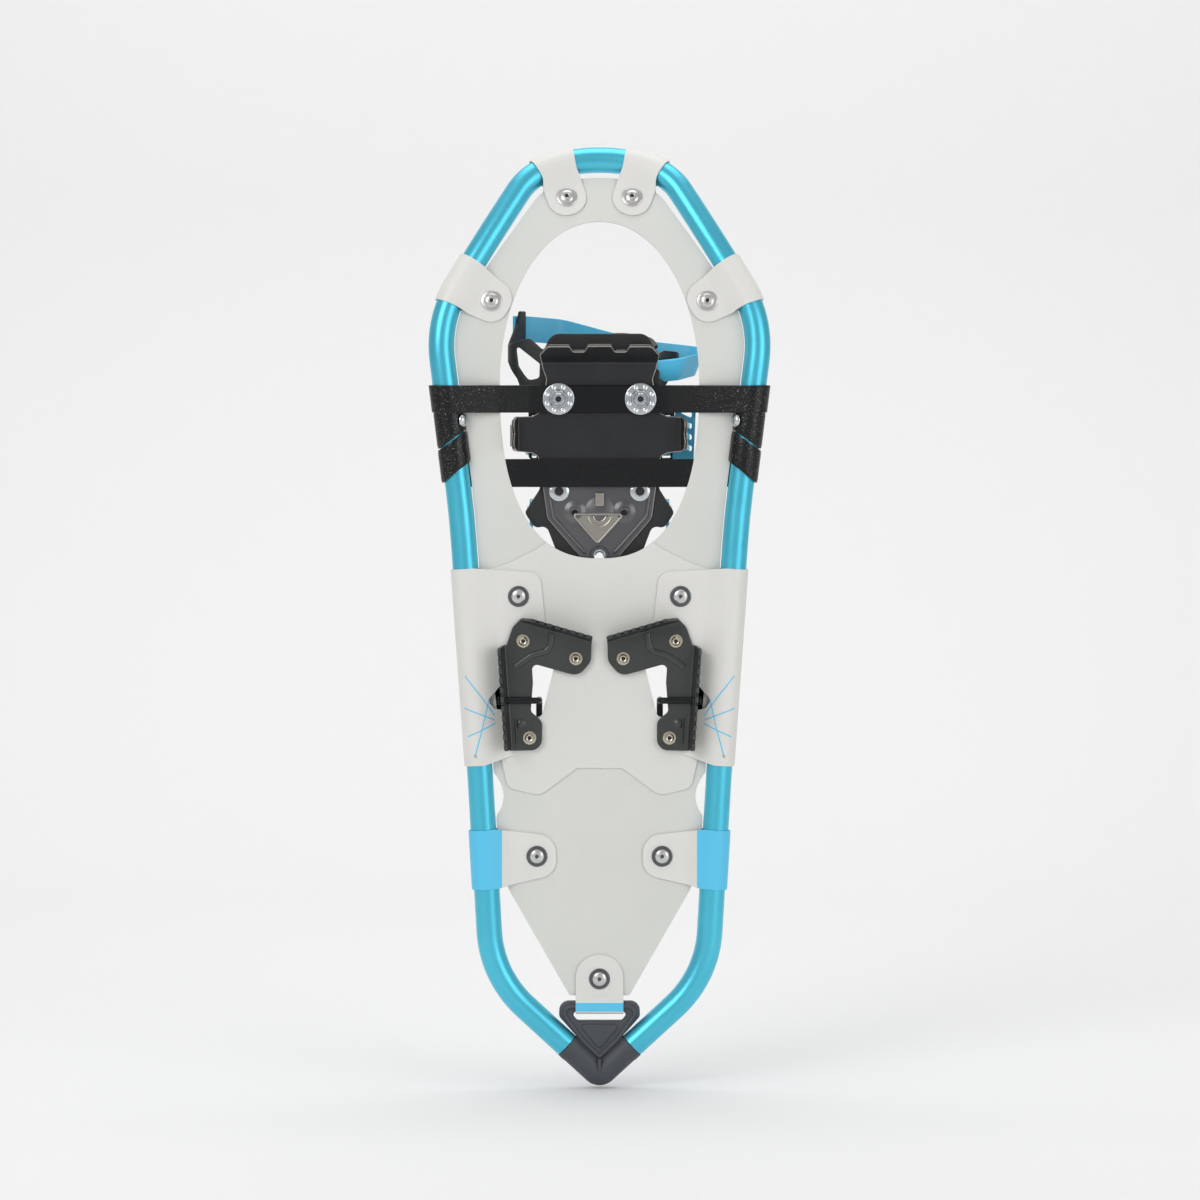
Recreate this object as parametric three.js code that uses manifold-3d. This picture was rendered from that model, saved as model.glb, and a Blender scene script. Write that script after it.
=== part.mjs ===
// Snowshoe with a hinged boot binding, hung upright by its toe bend.
// Millimetres. +Z runs to the toe, -Y faces the snow, +Y faces the boot, +X is the right-hand side.
// The origin is the lowest point of the toe bend tube, where a cord or a hook carries the snowshoe.
import * as THREE from "three";
import { mergeVertices } from "three/addons/utils/BufferGeometryUtils.js";
import Module from "manifold-3d";

const wasm = await Module();
wasm.setup();

// Frame
const TUBE_R = 8;
const TUBE_WALL = 1.2;
const ROCKER_R = 300; // the toe is rolled up to this radius
const ROCKER_Z = -130; // and is flat behind here
const TOE_Z = TUBE_R; // centre of the toe bend tube
const FIT = 0.35; // clearance between parts that touch
// Corners of half of the tube centreline: x, z, bend radius
const FRAME_CORNERS = [
  [0, TOE_Z, 0],
  [14.6, TOE_Z, 80],
  [43.3, -0.7, 38],
  [100.3, -91.9, 71],
  [85.3, -212.7, 600],
  [74, -376, 800],
  [67, -499.5, 69],
  [20.4, -542.5, 0],
];
const TAIL_APEX_Z = -561.3; // where the two straight tail runs would meet

// Sheets, as heights above the tube centreline plane
const DECK = [-0.5, 0.5];
const DOUBLER = [-1.8, -0.8];
const DECK_INSET = 10;
const TOE_GAP = 2.6; // extra gap behind the toe bend, for the hanging cord
const TAB_T = 1;
const OPENING = { z: -131.8, halfWidth: 61.7, front: 101.1, rear: 107.3 };
const RIVET_R = 6.5;
const SHANK_R = 1.9;
const HOLE_R = 2.3;
// Rivets on the right-hand half: x, z
const TOE_RIVET = [20.3, -15.8];
const SHOULDER_RIVET = [66.8, -80];
const SIDE_RIVET = [50.2, -262.6];
const TAIL_SIDE_RIVET = [38.9, -424.4];
const TAIL_RIVET = [0, -501];
const CLEAT_RIVETS = { upper: [47.3, -290.2], inner: [14.7, -301], lower: [43.4, -350.3] };

// Heel cleats and lift bar
const CLEAT_PLATE = [-5.2, -3.2];
const CLEAT_DEPTH = 14;
const BAR_R = 2;
const BAR_HINGE = { y: -7.7, z: -327 };
const BAR_LEG_X = 37.5;
const BAR_TOP_Y = 5.8;
const BAR_REACH = 60;

// Binding
const PIVOT = { y: 1.7, z: -140.4 };
const STRAP = [0.7, 2.7];
const FRONT_STRAP = { z: PIVOT.z, width: 17 };
const REAR_STRAP = { z: -186.3, width: 17.4 };
const TOE_PLATE = [3.05, 5.05];
const CLAW_PLATE = [5.4, 6.9];
const BASE = [7.2, 12.8];
const BASE_RECESS_Y = 10;
const BOLT_X = 25.4;
const SCREW = [25.1, -197.6];
const EYELET_Z = -237.8;
const HEEL_HINGE = { x: 41, y: 21, z: -211 };
const INSTEP_Z = -164;
const INSTEP_FOOT = [-39.8, 9.5];
const INSTEP_KNEE = [-46.2, 44];
const BUCKLE = { width: 18, length: 24, rise: 20.5, pinY: 5, reach: 19 };

const rad = THREE.MathUtils.degToRad;
const v3 = (x, y, z) => new THREE.Vector3(x, y, z);
const X = v3(1, 0, 0);
const Y = v3(0, 1, 0);

function paint(color, roughness, metalness) {
  return new THREE.MeshStandardMaterial({ color, roughness, metalness });
}
const MATERIAL = {
  tube: paint(0x4dbed6, 0.3, 0.85),
  deck: paint(0xd6d8d4, 0.55, 0),
  tab: paint(0xdcdcda, 0.5, 0),
  printedTab: paint(0x8fd0ea, 0.5, 0),
  rivet: paint(0xc4c4c2, 0.3, 0.9),
  cap: paint(0x45494f, 0.6, 0),
  blackSteel: paint(0x2a2b2d, 0.42, 0.7),
  greySteel: paint(0x646466, 0.35, 0.85),
  zinc: paint(0xb9bec2, 0.28, 0.95),
  strap: paint(0x12161b, 0.4, 0),
  plastic: paint(0x1d1e20, 0.55, 0),
  blueStrap: paint(0x5bc8ec, 0.4, 0),
  wire: paint(0x1b1c1e, 0.35, 0.8),
};

const snowshoe = new THREE.Group();
const body = new THREE.Group();
snowshoe.add(body);

// ---- Solids ----

function solid(geometry) {
  const bare = new THREE.BufferGeometry();
  const source = geometry.index ? geometry.toNonIndexed() : geometry;
  bare.setAttribute("position", source.getAttribute("position"));
  const merged = mergeVertices(bare, 1e-4);
  return new wasm.Manifold(
    new wasm.Mesh({
      numProp: 3,
      vertProperties: merged.attributes.position.array,
      triVerts: new Uint32Array(merged.index.array),
    }),
  );
}

function geometryOf(shape) {
  const { vertProperties, triVerts } = shape.getMesh();
  const geometry = new THREE.BufferGeometry();
  geometry.setAttribute("position", new THREE.BufferAttribute(vertProperties, 3));
  geometry.setIndex(new THREE.BufferAttribute(triVerts, 1));
  return geometry;
}

const join = (...solids) => solids.reduce((a, b) => a.add(b));
const cut = (from, ...solids) => solids.reduce((a, b) => a.subtract(b), from);

function part(name, shape, material) {
  const mesh = new THREE.Mesh(shape.isBufferGeometry ? shape : geometryOf(shape), material);
  mesh.name = name;
  body.add(mesh);
  return mesh;
}

// The right-hand part and its mirror image.
function pair(stem, shape, material) {
  part(stem + "_right", shape, material);
  part(stem + "_left", shape, material).scale.x = -1;
}

// ---- Outlines ----

// Corner points [x, y, z, radius] joined by straight runs and tangent arcs, as 3-D points.
function bend(corners, closed = false, step = 15) {
  const count = corners.length;
  const at = (i) => v3(...corners[(i + count) % count].slice(0, 3));
  return corners.flatMap(([, , , r = 0], i) => {
    if (!r || (!closed && (i === 0 || i === count - 1))) return [at(i)];
    const u = at(i - 1).sub(at(i)).normalize();
    const v = at(i + 1).sub(at(i)).normalize();
    const half = u.angleTo(v) / 2;
    const centre = u.clone().add(v).setLength(r / Math.sin(half)).add(at(i));
    const start = u.clone().multiplyScalar(r / Math.tan(half)).add(at(i)).sub(centre);
    const axis = v.clone().cross(u).normalize();
    const sweep = Math.PI - 2 * half;
    const pieces = Math.max(2, Math.ceil(sweep / rad(step)));
    return Array.from({ length: pieces + 1 }, (_, k) =>
      start.clone().applyAxisAngle(axis, (sweep * k) / pieces).add(centre),
    );
  });
}

// A closed plan outline from corners [x, z, radius].
function outline(corners, step = 18) {
  const points = bend(corners.map(([x, z, r]) => [x, z, 0, r]), true, step);
  return new THREE.Shape(points.map((p) => new THREE.Vector2(p.x, p.y)));
}

// Right-hand corners from front to rear, closed with their mirror image.
function mirrored(corners) {
  const left = corners.map(([x, z, r]) => [-x, z, r]).filter(([x]) => x < 0);
  return [...corners, ...left.reverse()];
}

function ring(r, count = 12, x = 0, y = 0) {
  return Array.from({ length: count }, (_, i) => {
    const a = (2 * Math.PI * i) / count;
    return new THREE.Vector2(x + r * Math.cos(a), y + r * Math.sin(a));
  });
}
const disc = (r, count, x, y) => new THREE.Shape(ring(r, count, x, y));

function rectangle(width, height) {
  const [w, h] = [width / 2, height / 2];
  return new THREE.Shape([[-w, -h], [w, -h], [w, h], [-w, h]].map((p) => new THREE.Vector2(...p)));
}

function rectangleAt([left, right], [low, high]) {
  const corners = [[left, low], [right, low], [right, high], [left, high]];
  return new THREE.Shape(corners.map((p) => new THREE.Vector2(...p)));
}

// The cross-section of a strip of thickness t that follows a row of 2-D points.
function strip(points, t) {
  const unit = (i) => points[i + 1].clone().sub(points[i]).normalize();
  const side = (sign) =>
    points.map((p, i) => {
      const a = unit(Math.max(i - 1, 0));
      const b = unit(Math.min(i, points.length - 2));
      const m = a.clone().add(b).normalize();
      const reach = (sign * t) / 2 / Math.sqrt((1 + a.dot(b)) / 2);
      return new THREE.Vector2(p.x - m.y * reach, p.y + m.x * reach);
    });
  return new THREE.Shape([...side(1), ...side(-1).reverse()]);
}

// ---- Bodies from outlines ----

function extrude(shape, from, to) {
  const g = new THREE.ExtrudeGeometry(shape, { depth: to - from, bevelEnabled: false });
  return g.translate(0, 0, from);
}

// A plan outline (x, z) raised from one height to another.
function plate(shape, [low, high]) {
  return solid(extrude(shape, 0, high - low).rotateX(Math.PI / 2).translate(0, high, 0));
}

// A side-view outline (y, z) run across from one x to another.
function across(shape, from, to) {
  return solid(extrude(shape, from, to).applyMatrix4(new THREE.Matrix4().makeBasis(Y, v3(0, 0, 1), X)));
}

// A cross-section (x, y) run along z.
const lengthwise = (shape, from, to) => solid(extrude(shape, from, to));

// A row of 3-D points with an up direction at each, for sweeping a section along.
class Route extends THREE.Curve {
  constructor(stations) {
    super();
    this.stations = stations;
  }
  getPoint(t) {
    return this.stations[Math.round(t * (this.stations.length - 1))].at.clone();
  }
  getSpacedPoints() {
    return this.stations.map(({ at }) => at.clone());
  }
  computeFrenetFrames() {
    const last = this.stations.length - 1;
    const run = (i) => this.stations[i + 1].at.clone().sub(this.stations[i].at).normalize();
    const tangents = this.stations.map((_, i) =>
      run(Math.max(i - 1, 0)).add(run(Math.min(i, last - 1))).normalize(),
    );
    const binormals = this.stations.map(({ up }, i) =>
      up.clone().addScaledVector(tangents[i], -up.dot(tangents[i])).normalize(),
    );
    const normals = binormals.map((b, i) => b.clone().cross(tangents[i]));
    return { tangents, normals, binormals };
  }
}

function sweep(shape, stations) {
  const extrudePath = new Route(stations);
  return new THREE.ExtrudeGeometry(shape, { steps: stations.length - 1, extrudePath });
}

// Stations along bent corners, with the up direction carried from one to the next.
function carried(corners, up, step) {
  let held = up.clone();
  const points = bend(corners, false, step);
  return points.map((at, i) => {
    const [a, b] = i ? [points[i - 1], at] : [at, points[1]];
    const t = b.clone().sub(a).normalize();
    held = held.clone().addScaledVector(t, -held.dot(t)).normalize();
    return { at, up: held };
  });
}

// ---- The rolled-up toe ----

const angleAt = (s) => Math.max(0, (s - ROCKER_Z) / ROCKER_R);
const unroll = (z) =>
  z <= ROCKER_Z ? z : ROCKER_Z + ROCKER_R * Math.asin((z - ROCKER_Z) / ROCKER_R);
const upAt = (s) => v3(0, Math.cos(angleAt(s)), -Math.sin(angleAt(s)));

// A point given on the flat sheet (x, height, length s) moved onto the rolled one.
function roll(x, y, s) {
  const flat = Math.min(s, ROCKER_Z);
  const a = angleAt(s);
  return v3(x, ROCKER_R - (ROCKER_R - y) * Math.cos(a), flat + (ROCKER_R - y) * Math.sin(a));
}

// Puts a body made upright at the origin onto the sheet at (x, z).
function stand(geometry, [x, z]) {
  const up = upAt(unroll(z));
  const basis = new THREE.Matrix4().makeBasis(X, up, X.clone().cross(up));
  return geometry.applyMatrix4(basis.setPosition(roll(x, 0, unroll(z))));
}

// The whole sheet between two heights, before any outline is cut from it.
function sheet([low, high]) {
  const stops = [-600];
  for (let s = ROCKER_Z; s < 40; s += 10) stops.push(s);
  const edge = (y) => stops.map((s) => roll(0, y, s)).map((p) => new THREE.Vector2(p.y, p.z));
  return across(new THREE.Shape([...edge(low), ...edge(high).reverse()]), -120, 120);
}

// ---- Frame ----

// Half of the centreline on the flat sheet, with stations close enough for the roll.
function halfFrame() {
  const corners = FRAME_CORNERS.map(([x, z, r]) => [x, 0, unroll(z), r]);
  const points = bend(corners, false, 12);
  return points.flatMap((p, i) => {
    if (!i) return [p];
    const q = points[i - 1];
    const pieces = p.z > ROCKER_Z - 20 ? Math.ceil(p.distanceTo(q) / 20) : 1;
    return Array.from({ length: pieces }, (_, k) => q.clone().lerp(p, (k + 1) / pieces));
  });
}
const HALF = halfFrame();

const station = (p) => ({ at: roll(p.x, 0, p.z), up: upAt(p.z) });

// The part of the right-hand centreline between two distances from the toe centre.
function stretch(from, to) {
  const inside = [];
  let walked = 0;
  for (let i = 1; i < HALF.length; i++) {
    const length = HALF[i].distanceTo(HALF[i - 1]);
    const at = (d) => HALF[i - 1].clone().lerp(HALF[i], (d - walked) / length);
    if (from >= walked && from < walked + length) inside.push(at(from));
    if (walked + length > from && walked + length < to) inside.push(HALF[i]);
    if (to > walked && to <= walked + length) inside.push(at(to));
    walked += length;
  }
  return inside;
}

// Distance along the centreline of its point nearest to (x, z), that point, and the way inwards.
function nearest([x, z]) {
  const target = v3(x, 0, unroll(z));
  let best = { gap: Infinity };
  let walked = 0;
  for (let i = 1; i < HALF.length; i++) {
    const line = new THREE.Line3(HALF[i - 1], HALF[i]);
    const point = line.closestPointToPoint(target, true, v3(0, 0, 0));
    const gap = point.distanceTo(target);
    if (gap < best.gap) best = { gap, point, along: walked + point.distanceTo(HALF[i - 1]) };
    walked += line.distance();
  }
  return { ...best, inward: target.sub(best.point).normalize() };
}

// Centreline x where the tube passes a given z.
function tubeX(z) {
  const i = HALF.findIndex((p, k) => k && p.x > 30 && p.z <= z);
  const [a, b] = [HALF[i - 1], HALF[i]];
  return a.x + ((b.x - a.x) * (z - a.z)) / (b.z - a.z);
}

function frameTube() {
  const wall = disc(TUBE_R, 16);
  wall.holes.push(new THREE.Path(ring(TUBE_R - TUBE_WALL, 8)));
  const left = HALF.slice(1).map((p) => v3(-p.x, 0, p.z)).reverse();
  return solid(sweep(wall, [...left, ...HALF].map(station)));
}

// Where a strap rivet goes through: on the lower inner side of the tube.
const STRAP_RIVET_Z = -153.5;
function strapRivetMatrix() {
  const tilt = new THREE.Matrix4().makeRotationZ(rad(-55));
  return tilt.setPosition(tubeX(STRAP_RIVET_Z), 0, STRAP_RIVET_Z);
}

// Solid plug that closes both tube ends, with a slotted bar for the tail tab.
function tailCap() {
  const [x, z] = FRAME_CORNERS.at(-1);
  const run = v3(x, 0, z - TAIL_APEX_Z).normalize();
  const on = (d, y = 0) => run.clone().multiplyScalar(d).add(v3(0, y, TAIL_APEX_Z)).toArray();
  const mouth = v3(x, 0, z).distanceTo(v3(0, 0, TAIL_APEX_Z));
  const flip = ([a, b, c]) => [-a, b, c];
  const vee = [on(mouth - FIT), [0, 0, TAIL_APEX_Z, 4], flip(on(mouth - FIT))];
  const elbow = solid(sweep(disc(TUBE_R, 16), carried(vee, Y, 15)));
  const plugs = [1, -1].map((side) => {
    const ends = [on(mouth - 6), on(mouth + 14)].map((p) => (side > 0 ? p : flip(p)));
    return solid(sweep(disc(TUBE_R - TUBE_WALL - FIT - 0.3, 8), carried(ends, Y)));
  });
  const web = mirrored([
    [24.9, -514.9, 6], [25.2, -524.5, 4], [14.3, -536.8, 1], [17.3, -544, 0], [0, -562, 0],
  ]);
  const slot = mirrored([[18.5, -521.3, 2], [14, -527, 2]]);
  const panel = mirrored([[14, -530, 2], [3.5, -541.5, 2], [0, -545, 0]]);
  const frame = cut(
    plate(outline(web), [-3.6, 3.6]),
    plate(outline(slot), [-9, 9]),
  );
  const cap = join(elbow, ...plugs, frame);
  return cut(cap, plate(outline(panel), [-12, -2.4]));
}

// ---- Deck ----

// Superellipse opening for the toe of the boot.
function toeOpening() {
  const { z, halfWidth, front, rear } = OPENING;
  const points = Array.from({ length: 48 }, (_, i) => {
    const a = (2 * Math.PI * i) / 48;
    const [c, s] = [Math.cos(a), Math.sin(a)];
    const [reach, power] = s > 0 ? [front, 2.05] : [rear, 2.45];
    const grow = (w) => Math.sign(w) * Math.abs(w) ** (2 / power);
    return new THREE.Vector2(halfWidth * grow(c), z + reach * grow(s));
  });
  return plate(new THREE.Shape(points), [-12, 45]);
}

// Window beside each heel cleat that the lift bar swings through.
function heelWindow(side) {
  const corners = [[70, -327, 3], [43, -299, 6], [28, -306, 4], [36, -338.5, 4], [66, -332, 3]];
  return plate(outline(corners.map(([x, z, r]) => [side * x, z, r])), [-12, 12]);
}
const heelWindows = () => [heelWindow(1), heelWindow(-1)];

function hole(at) {
  return solid(stand(new THREE.CylinderGeometry(HOLE_R, HOLE_R, 40, 8), at));
}
const holes = (...points) =>
  points.flatMap(([x, z]) => (x ? [hole([x, z]), hole([-x, z])] : [hole([x, z])]));

function deckOutline() {
  const edge = HALF.map((p, i) => {
    const a = HALF[Math.max(i - 1, 0)];
    const b = HALF[Math.min(i + 1, HALF.length - 1)];
    const t = i ? b.clone().sub(a).normalize() : X;
    const widened = TOE_GAP * THREE.MathUtils.clamp((p.z + 60) / 60, 0, 1);
    const q = v3(t.z, 0, -t.x).multiplyScalar(DECK_INSET + widened).add(p);
    return roll(q.x, 0, q.z);
  }).filter((p, i) => p.z > -435 && (!i || p.x > 1));
  const corners = edge.map((p) => [p.x, p.z, 0]);
  return outline(mirrored([...corners, [59.7, -437, 0], [56, -446, 9], [18.6, -511.5, 2]]));
}

function deck() {
  const scallop = (side) => plate(disc(27, 24, side * 86.5, -388), [-5, 5]);
  return cut(
    sheet(DECK).intersect(plate(deckOutline(), [-12, 60])),
    toeOpening(), scallop(1), scallop(-1), ...heelWindows(),
    ...holes(TOE_RIVET, SHOULDER_RIVET, SIDE_RIVET, TAIL_SIDE_RIVET, TAIL_RIVET),
    ...holes(...Object.values(CLEAT_RIVETS)),
  );
}

function deckDoubler() {
  const plan = mirrored([
    [38, -231, 20], [70.5, -246.5, 4], [60.8, -364, 5], [57, -382, 7], [37, -386.5, 9], [14, -369, 14],
  ]);
  return cut(
    plate(outline(plan), DOUBLER),
    toeOpening(), ...heelWindows(),
    ...holes(SIDE_RIVET, ...Object.values(CLEAT_RIVETS)),
  );
}

// ---- Tabs that tie the deck to the tube ----

// Section of a tab round the tube: legs reach to n = e at heights -low and +high.
function wrapArc(low, high, e) {
  const r = TUBE_R + FIT + TAB_T / 2;
  const touch = (h) => Math.acos(r / Math.hypot(e, h)) + Math.atan2(h, e);
  const [a, b] = [touch(low), touch(high)];
  const turn = 2 * Math.PI - a - b;
  const arc = Array.from({ length: 10 }, (_, i) => -a - (turn * i) / 9);
  return arc.map((t) => new THREE.Vector2(r * Math.cos(t), r * Math.sin(t)));
}

// A tab folded round the tube at the point nearest its rivet, both legs riveted to the deck.
function tab(at, halfWidth, endRadius) {
  const { point, along, inward, gap } = nearest(at);
  const up = upAt(point.z);
  const n = roll(inward.x + point.x, 0, inward.z + point.z).sub(roll(point.x, 0, point.z));
  n.addScaledVector(up, -n.dot(up)).normalize();
  const side = n.clone().cross(up);
  const origin = roll(point.x, 0, point.z);
  const rolled = point.z > ROCKER_Z;
  const drop = (d) => (rolled ? (d * inward.z) ** 2 / (2 * ROCKER_R) : 0);
  const reach = gap + endRadius;
  const slack = rolled ? 0.45 : 0;
  const seat = DECK[1] + FIT + TAB_T / 2 + slack;
  const e = 17;
  const round = wrapArc(seat - drop(e), seat + drop(e), e);
  const leg = (sign) => {
    const steps = [e, (e + reach) / 2, reach + 2];
    const flat = steps.map((d) => new THREE.Vector2(d, sign * seat + drop(d)));
    const start = sign < 0 ? round[0] : round.at(-1);
    const meet = start.clone().lerp(flat[0], 0.45);
    return { swept: [start, flat[0]], straight: [meet, ...flat] };
  };
  const [low, high] = [leg(-1), leg(1)];
  const loop = strip([low.swept[1], ...round, high.swept[1]], TAB_T);
  const half = halfWidth * 1.6;
  const wrap = solid(sweep(loop, stretch(along - half, along + half).map(station)));
  const local = new THREE.Matrix4().makeBasis(n, up, side).setPosition(origin);
  const flap = (points) => solid(extrude(strip(points, TAB_T), -half, half).applyMatrix4(local));
  const flipped = new THREE.Matrix4().makeBasis(n, side, up.clone().negate()).setPosition(origin);
  const plan = outline([
    [-14, -halfWidth, 0], [4, -halfWidth, 0],
    [reach, -endRadius, endRadius * 0.97], [reach, endRadius, endRadius * 0.97],
    [4, halfWidth, 0], [-14, halfWidth, 0],
  ]);
  const keep = solid(extrude(plan, -20, 20).applyMatrix4(flipped));
  const whole = join(wrap, flap(low.straight), flap(high.straight)).intersect(keep);
  return cut(whole, hole(at));
}

// The long tab beside the heel, doubled over the tube like the small ones. Its upper leg closes
// the outer corner of the window.
function sideTab() {
  const low = -DOUBLER[0] + 0.2 + TAB_T / 2;
  const high = DECK[1] + FIT + TAB_T / 2;
  const round = wrapArc(low, high, 17);
  const reach = 62;
  const points = [new THREE.Vector2(reach, -low), new THREE.Vector2(17, -low), ...round,
    new THREE.Vector2(17, high), new THREE.Vector2(reach, high)];
  const section = strip(points, TAB_T);
  const near = nearest([90, -308]);
  const wrap = solid(sweep(section, stretch(near.along - 70, near.along + 70).map(station)));
  const plan = outline([
    [110, -244.5, 0], [88, -246.8, 0], [38.5, -253, 6], [36, -290, 10], [36, -352, 9],
    [46, -361.5, 4], [84, -368.6, 0], [110, -368.6, 0],
  ]);
  const closed = plate(rectangleAt([57, 75], [-340, -310]), [0.2, 20]);
  return cut(
    wrap.intersect(plate(plan, [-20, 20])),
    cut(heelWindow(1), closed),
    ...[SIDE_RIVET, CLEAT_RIVETS.upper, CLEAT_RIVETS.lower].map(hole),
  );
}

// Tab that ties the tail of the deck to the bar of the tail cap.
function tailTab() {
  const seat = DECK[1] + FIT + TAB_T / 2;
  const wrap = bend([
    [-486, -seat, 0, 0], [-511, -seat, 0, 2], [-514.2, -4.6, 0, 1.2], [-522.2, -4.6, 0, 1.4],
    [-522.2, 4.6, 0, 1.4], [-514.2, 4.6, 0, 1.2], [-511, seat, 0, 2], [-486, seat, 0, 0],
  ], false, 30);
  const shape = strip(wrap.map((p) => new THREE.Vector2(p.y, p.x)), TAB_T);
  const plan = outline([[14.9, -488.6, 14.5], [14.9, -530, 0], [-14.9, -530, 0], [-14.9, -488.6, 14.5]]);
  return cut(across(shape, -20, 20).intersect(plate(plan, [-20, 20])), hole(TAIL_RIVET));
}

// Headed rivet standing on the y axis, from the lower seat to the upper seat.
function rivet(low, high, r = RIVET_R) {
  const profile = [
    [0, low - 2], [r * 0.45, low - 1.9], [r * 0.55, low - 1], [r, low - 0.8], [r, low],
    [SHANK_R, low], [SHANK_R, high], [r * 0.8, high], [r * 0.7, high + 1], [0, high + 1.3],
  ];
  return new THREE.LatheGeometry(profile.map((p) => new THREE.Vector2(...p)), 8);
}

// ---- Heel cleats ----

// Upright wall between two plan points with triangular teeth along its lower edge.
function toothedWall([x0, z0], [x1, z1], thickness, [low, high], teeth, toothDepth) {
  const length = Math.hypot(x1 - x0, z1 - z0);
  const pitch = length / teeth;
  const points = [[0, high], [0, low + toothDepth]];
  for (let i = 0; i < teeth; i++) {
    points.push([pitch * (i + 0.3), low], [pitch * (i + 0.7), low]);
    if (i < teeth - 1) points.push([pitch * (i + 1), low + toothDepth]);
  }
  points.push([length, low + toothDepth], [length, high]);
  const shape = new THREE.Shape(points.map((p) => new THREE.Vector2(...p)));
  const along = v3(x1 - x0, 0, z1 - z0).normalize();
  const matrix = new THREE.Matrix4().makeBasis(along, Y, along.clone().cross(Y)).setPosition(x0, 0, z0);
  return solid(extrude(shape, 0, thickness).applyMatrix4(matrix));
}

function heelCleat() {
  const plan = outline([
    [53.5, -281.5, 7], [44, -280.6, 2], [5, -291.6, 1], [8.5, -307, 5], [18, -311, 4], [35, -306, 3],
    [42, -304, 3], [41.2, -316, 3], [42.6, -334, 3], [35.6, -340, 6], [35.6, -358, 7],
    [53.3, -358.4, 0], [57.9, -292.5, 1],
  ]);
  const [low, high] = CLEAT_PLATE;
  const walls = [low - CLEAT_DEPTH, high];
  const front = toothedWall([43.5, -280.9], [6, -291.6], 2, walls, 7, 3);
  const outer = toothedWall([56.3, -292.7], [51.8, -358], 2, walls, 10, 3);
  const pin = new THREE.CylinderGeometry(BAR_R + 0.4, BAR_R + 0.4, 30, 12).rotateZ(Math.PI / 2);
  return cut(
    join(plate(plan, CLEAT_PLATE), front, outer),
    ...Object.values(CLEAT_RIVETS).map(hole),
    solid(pin.translate(55, BAR_HINGE.y, BAR_HINGE.z)),
  );
}

// One bent wire: two hinge ends in the cleats, two legs through the windows and a crossbar.
function heelLiftBar() {
  const { y, z } = BAR_HINGE;
  const back = z - BAR_REACH;
  const right = [
    [62.5, y, z, 0], [BAR_LEG_X, y, z, 3.2], [BAR_LEG_X, BAR_TOP_Y, z, 5], [BAR_LEG_X, BAR_TOP_Y, back, 9],
  ];
  const left = right.map(([x, ...rest]) => [-x, ...rest]).reverse();
  return solid(sweep(disc(BAR_R, 8), carried([...right, ...left], v3(0, 0, 1), 18)));
}

// ---- Straps that carry the binding ----

// The strap from the lower side of each tube across to the other, on which the binding hinges.
function frontStrap() {
  const { z, width } = FRONT_STRAP;
  const [low, high] = STRAP;
  const mid = (low + high) / 2;
  const r = TUBE_R + FIT + 0.2 + (high - low) / 2;
  const start = -76;
  const loop = Array.from({ length: 13 }, (_, i) => rad(start - i * 19));
  const ringPart = loop.map((a) => new THREE.Vector2(r * Math.cos(a), r * Math.sin(a)));
  const section = strip(ringPart, high - low);
  const near = nearest([110, z]);
  const hook = () =>
    solid(sweep(section, stretch(near.along - 13, near.along + 13).map(station)));
  const centre = tubeX(z);
  const tangent = rad(start);
  const foot = [centre - r * Math.cos(tangent), r * Math.sin(tangent)];
  const path = bend([
    [foot[0] + 1.6, foot[1] - 0.4, 0, 0], [63, -2.4, 0, 30], [42, mid, 0, 30], [0, mid, 0, 0],
  ], false, 8).map((p) => new THREE.Vector2(p.x, p.y));
  const span = lengthwise(strip(path, high - low), z - width / 2, z + width / 2);
  const keep = plate(outline([[130, z + width / 2, 0], [130, z - width / 2, 0],
    [-1, z - width / 2, 0], [-1, z + width / 2, 0]]), [-20, 20]);
  const half = join(hook(), span).intersect(keep);
  const mirror = new THREE.Matrix4().makeScale(-1, 1, 1);
  const other = solid(flipFaces(geometryOf(half).toNonIndexed().applyMatrix4(mirror)));
  const bolts = [1, -1].map((side) =>
    solid(new THREE.CylinderGeometry(4.2, 4.2, 20, 12).translate(side * BOLT_X, 0, z)));
  return cut(join(half, other), ...bolts);
}

// Turns each face of an unindexed mesh round, after a mirroring.
function flipFaces(geometry) {
  const position = geometry.getAttribute("position");
  const corner = v3(0, 0, 0);
  const other = v3(0, 0, 0);
  for (let i = 0; i < position.count; i += 3) {
    corner.fromBufferAttribute(position, i + 1);
    other.fromBufferAttribute(position, i + 2);
    position.setXYZ(i + 1, other.x, other.y, other.z);
    position.setXYZ(i + 2, corner.x, corner.y, corner.z);
  }
  return geometry;
}

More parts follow.
